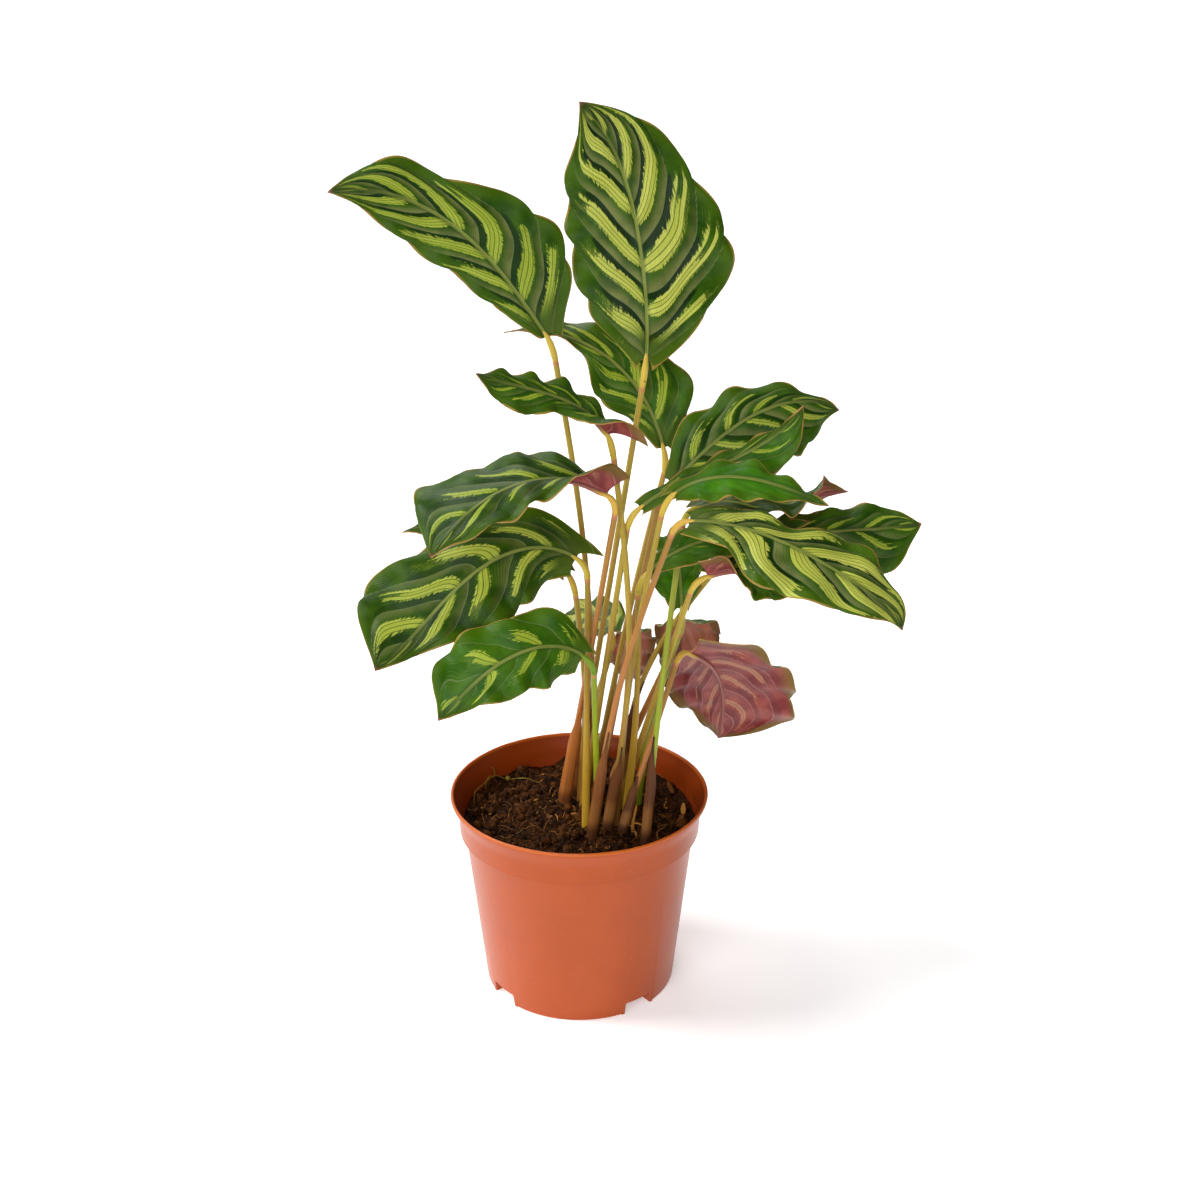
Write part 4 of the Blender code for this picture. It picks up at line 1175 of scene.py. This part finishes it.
def blade_underside():
    """Purple skin with the same bands in buff, greenish at the margin; a darker purple stripe after each
    band that is partly painted shade, and painted light that brightens the undersides of leaves 19 and 20.
    """
    finish = Finish("leaf underside", 0.42, 0.25)
    beside, edge, vein, tone, painted_light_and_shade = (finish.attribute(name) for name in
                                      ("beside", "edge", "vein", "tone", "painted_light_and_shade"))
    phase = vein.fraction()
    mask, _ = band_mask(finish)
    cloudy = finish.cloud(finish.place(), 8 * MM, 3)
    colour = finish.mix(cloudy.rise(0.3, 0.7), srgb(120, 44, 44), srgb(154, 74, 66))
    # A darker purple stripe after each band: partly the leaf's own marking and partly painted shade.
    colour = finish.mix(phase.hump(0.6, 0.08, 0.15) * 0.5, colour, srgb(86, 30, 38))
    # Painted light: brightens the whole underside of the leaves set above 1.05 (leaves 19 and 20), which
    # hang in shade.
    colour = finish.mix(painted_light_and_shade.rise(1.05, 1.4) * 0.9, colour, srgb(250, 150, 128))
    colour = finish.mix(mask * 0.55, colour, srgb(190, 148, 110))
    crease = (phase - CREASE_PHASE).size().rise(0.04, 0.01)
    colour = finish.mix(crease * 0.5, colour, srgb(190, 118, 108))
    colour = finish.mix(tone.rise(0.5, 0.9) * 0.8, colour, srgb(110, 128, 52))
    colour = finish.mix(edge.rise(6.0, 0.8) * 0.75, colour, srgb(112, 96, 30))
    colour = finish.mix(beside.rise(1.6, 0.8) * 0.6, colour, srgb(150, 84, 78))
    return finish.set(colour, cloudy * 0.15 + 0.33, blade_relief(finish), 0.09 * MM)


def blade_edge():
    """The dry tan rim."""
    finish = Finish("leaf edge", 0.5)
    patches = finish.cloud(finish.place(), 3 * MM).rise(0.4, 0.6)
    return finish.set(finish.mix(patches, srgb(160, 120, 54), srgb(188, 148, 78)))


def vein_coordinate(number, along, across):
    """Counts the side veins from the base. A vein's crease runs where the fraction is CREASE_PHASE."""
    out = np.abs(across)
    spacing, shift, slant = BLADE_LOOKS[number][:3]
    reach = slant * (VEIN_SLANT * out + VEIN_CURVE * out ** 2) * (0.6 + 0.6 * along)
    side = np.where(across >= 0, 1.0, -1.0)
    wander = np.array([noise.noise(Vector((4 * a, 2 * b + 9 * c, 5 * number)))
                       for a, b, c in zip(along, out, side)])
    return (along - reach) / spacing + shift + HALVES_SHIFT * side + VEIN_WANDER * wander


def blade_normal(one, along, across):
    """The way the top face looks, found from points a little further along and across."""
    back = np.clip(along - NEIGHBOUR_STEP, 0, 0.985)
    ahead = np.clip(along + NEIGHBOUR_STEP, 0, 0.995)
    side = np.where(across >= 0, 1.0, -1.0)
    inner = side * np.clip(np.abs(across) - NEIGHBOUR_STEP, 0.001, 1)
    outer = side * np.clip(np.abs(across) + NEIGHBOUR_STEP, 0.001, 1)
    lengthwise = blade_surface(one, ahead, across) - blade_surface(one, back, across)
    crosswise = (blade_surface(one, along, outer) - blade_surface(one, along, inner)) * side[:, None]
    normal = np.cross(crosswise, lengthwise)
    return normal / np.maximum(np.linalg.norm(normal, axis=1), 1e-9)[:, None]


def make_blade(number, one, materials):
    bm = bmesh.new()
    names = ("along", "across", "vein", "beside", "edge", "pale", "cream", "tone", "painted_light_and_shade")
    layers = {name: bm.verts.layers.float.new(name) for name in names}
    bmesh.ops.create_grid(bm, x_segments=BLADE_ROWS, y_segments=BLADE_COLUMNS, size=1)
    along = np.array([(corner.co.x + 1) / 2 for corner in bm.verts])
    across = np.array([-corner.co.y for corner in bm.verts])
    out = np.abs(across)
    width = np.where(across >= 0, half_width(one["right"], along), half_width(one["left"], along))
    vein = vein_coordinate(number, along, across)
    bulge = np.sin(math.pi * np.mod(vein - CREASE_PHASE, 1)) - 0.6
    quilt = bulge * smooth(out * width / QUILT_FLAT_BESIDE_RIB) * (1 - 0.5 * smooth((out - 0.6) / 0.4))
    quilt = quilt * np.minimum(width / QUILT_FULL_WIDTH, 1)
    ends = np.sqrt(np.clip(np.minimum(along, 1 - along) * FLAT_ENDS, 0, 1))
    wavy = across * (1 + SCALLOP * bulge * out ** 2 * ends)
    ripple = np.array([noise.noise(Vector((RIPPLES_ALONG * a, RIPPLES_ACROSS * b, number)))
                       for a, b in zip(along, across)])
    lift = QUILT_HEIGHT * quilt + EDGE_RIPPLE * ripple * out ** 3
    places = blade_surface(one, along, wavy) + blade_normal(one, along, across) * (lift * ends)[:, None]
    columns = (along, across, vein, out * width, (1 - out) * width, *BLADE_LOOKS[number][3:])
    columns = [np.broadcast_to(column, along.shape) for column in columns]
    for row, corner in enumerate(bm.verts):
        corner.co = places[row] * MM
        for name, column in zip(names, columns):
            corner[layers[name]] = column[row]
    bmesh.ops.remove_doubles(bm, verts=bm.verts[:], dist=0.002 * MM)
    blade = mesh_piece(f"leaf_{number:02d}_sheet", bm, *materials)
    solid = thickened(blade, BLADE_THICKNESS)
    solid.use_even_offset = False
    solid.material_offset = 1
    solid.material_offset_rim = 2
    return blade


blade_finishes = (blade_top(), blade_underside(), blade_edge())
for number, one in enumerate(LEAVES, 1):
    fitted(make_blade(number, one, blade_finishes), f"leaf_{number:02d}_blade")

# The studio: a wide white floor and a white surround. The main light comes from high on the left;
# weaker ones in front and behind fill the shadows. The floor glows a little, to stay white.
FLOOR_REACH = 25
FLOOR_GLOW = 0.36
SURROUND_LIGHT = 0.18
SURROUND_SEEN = 1.0
floor_mesh = bmesh.new()
bmesh.ops.create_grid(floor_mesh, x_segments=1, y_segments=1, size=FLOOR_REACH)
floor_finish = Finish("studio floor", 0.9, 0.1)
floor_finish.shader.inputs["Emission Color"].default_value = (1, 1, 1, 1)
floor_finish.shader.inputs["Emission Strength"].default_value = FLOOR_GLOW
floor = mesh_piece("studio_floor", floor_mesh, floor_finish.set(srgb(252, 252, 252)))


def soft_light(name, kind, place, aim, size, strength):
    """A light aimed at a point. Size is a sun's width in degrees or a panel's side in metres."""
    data = bpy.data.lights.new(name, kind)
    data.energy = strength
    if kind == "SUN":
        data.angle = math.radians(size)
    else:
        data.size = size
    light = bpy.data.objects.new(name, data)
    light.location = place
    light.rotation_euler = (Vector(aim) - Vector(place)).to_track_quat("-Z", "Y").to_euler()
    bpy.context.scene.collection.objects.link(light)


soft_light("key", "SUN", place=(-1.05, 0.1, 1.3), aim=(0, 0, 0.2), size=28, strength=2.5)
soft_light("fill", "SUN", place=(-0.45, -1.3, 0.85), aim=(0, 0, 0.2), size=45, strength=1.8)
soft_light("back", "AREA", place=(-0.3, 1.0, 1.1), aim=(0, 0, 0.3), size=0.8, strength=6)

world = bpy.data.worlds.new("studio surround")
world.use_nodes = True
nodes, links = world.node_tree.nodes, world.node_tree.links
seen = nodes.new("ShaderNodeLightPath")
strength = nodes.new("ShaderNodeMapRange")
strength.inputs["To Min"].default_value = SURROUND_LIGHT
strength.inputs["To Max"].default_value = SURROUND_SEEN
links.new(seen.outputs["Is Camera Ray"], strength.inputs["Value"])
links.new(strength.outputs["Result"], nodes["Background"].inputs["Strength"])
nodes["Background"].inputs["Color"].default_value = (1, 1, 1, 1)
bpy.context.scene.world = world
bpy.context.scene.view_settings.view_transform = "Standard"

bpy.context.view_layer.update()
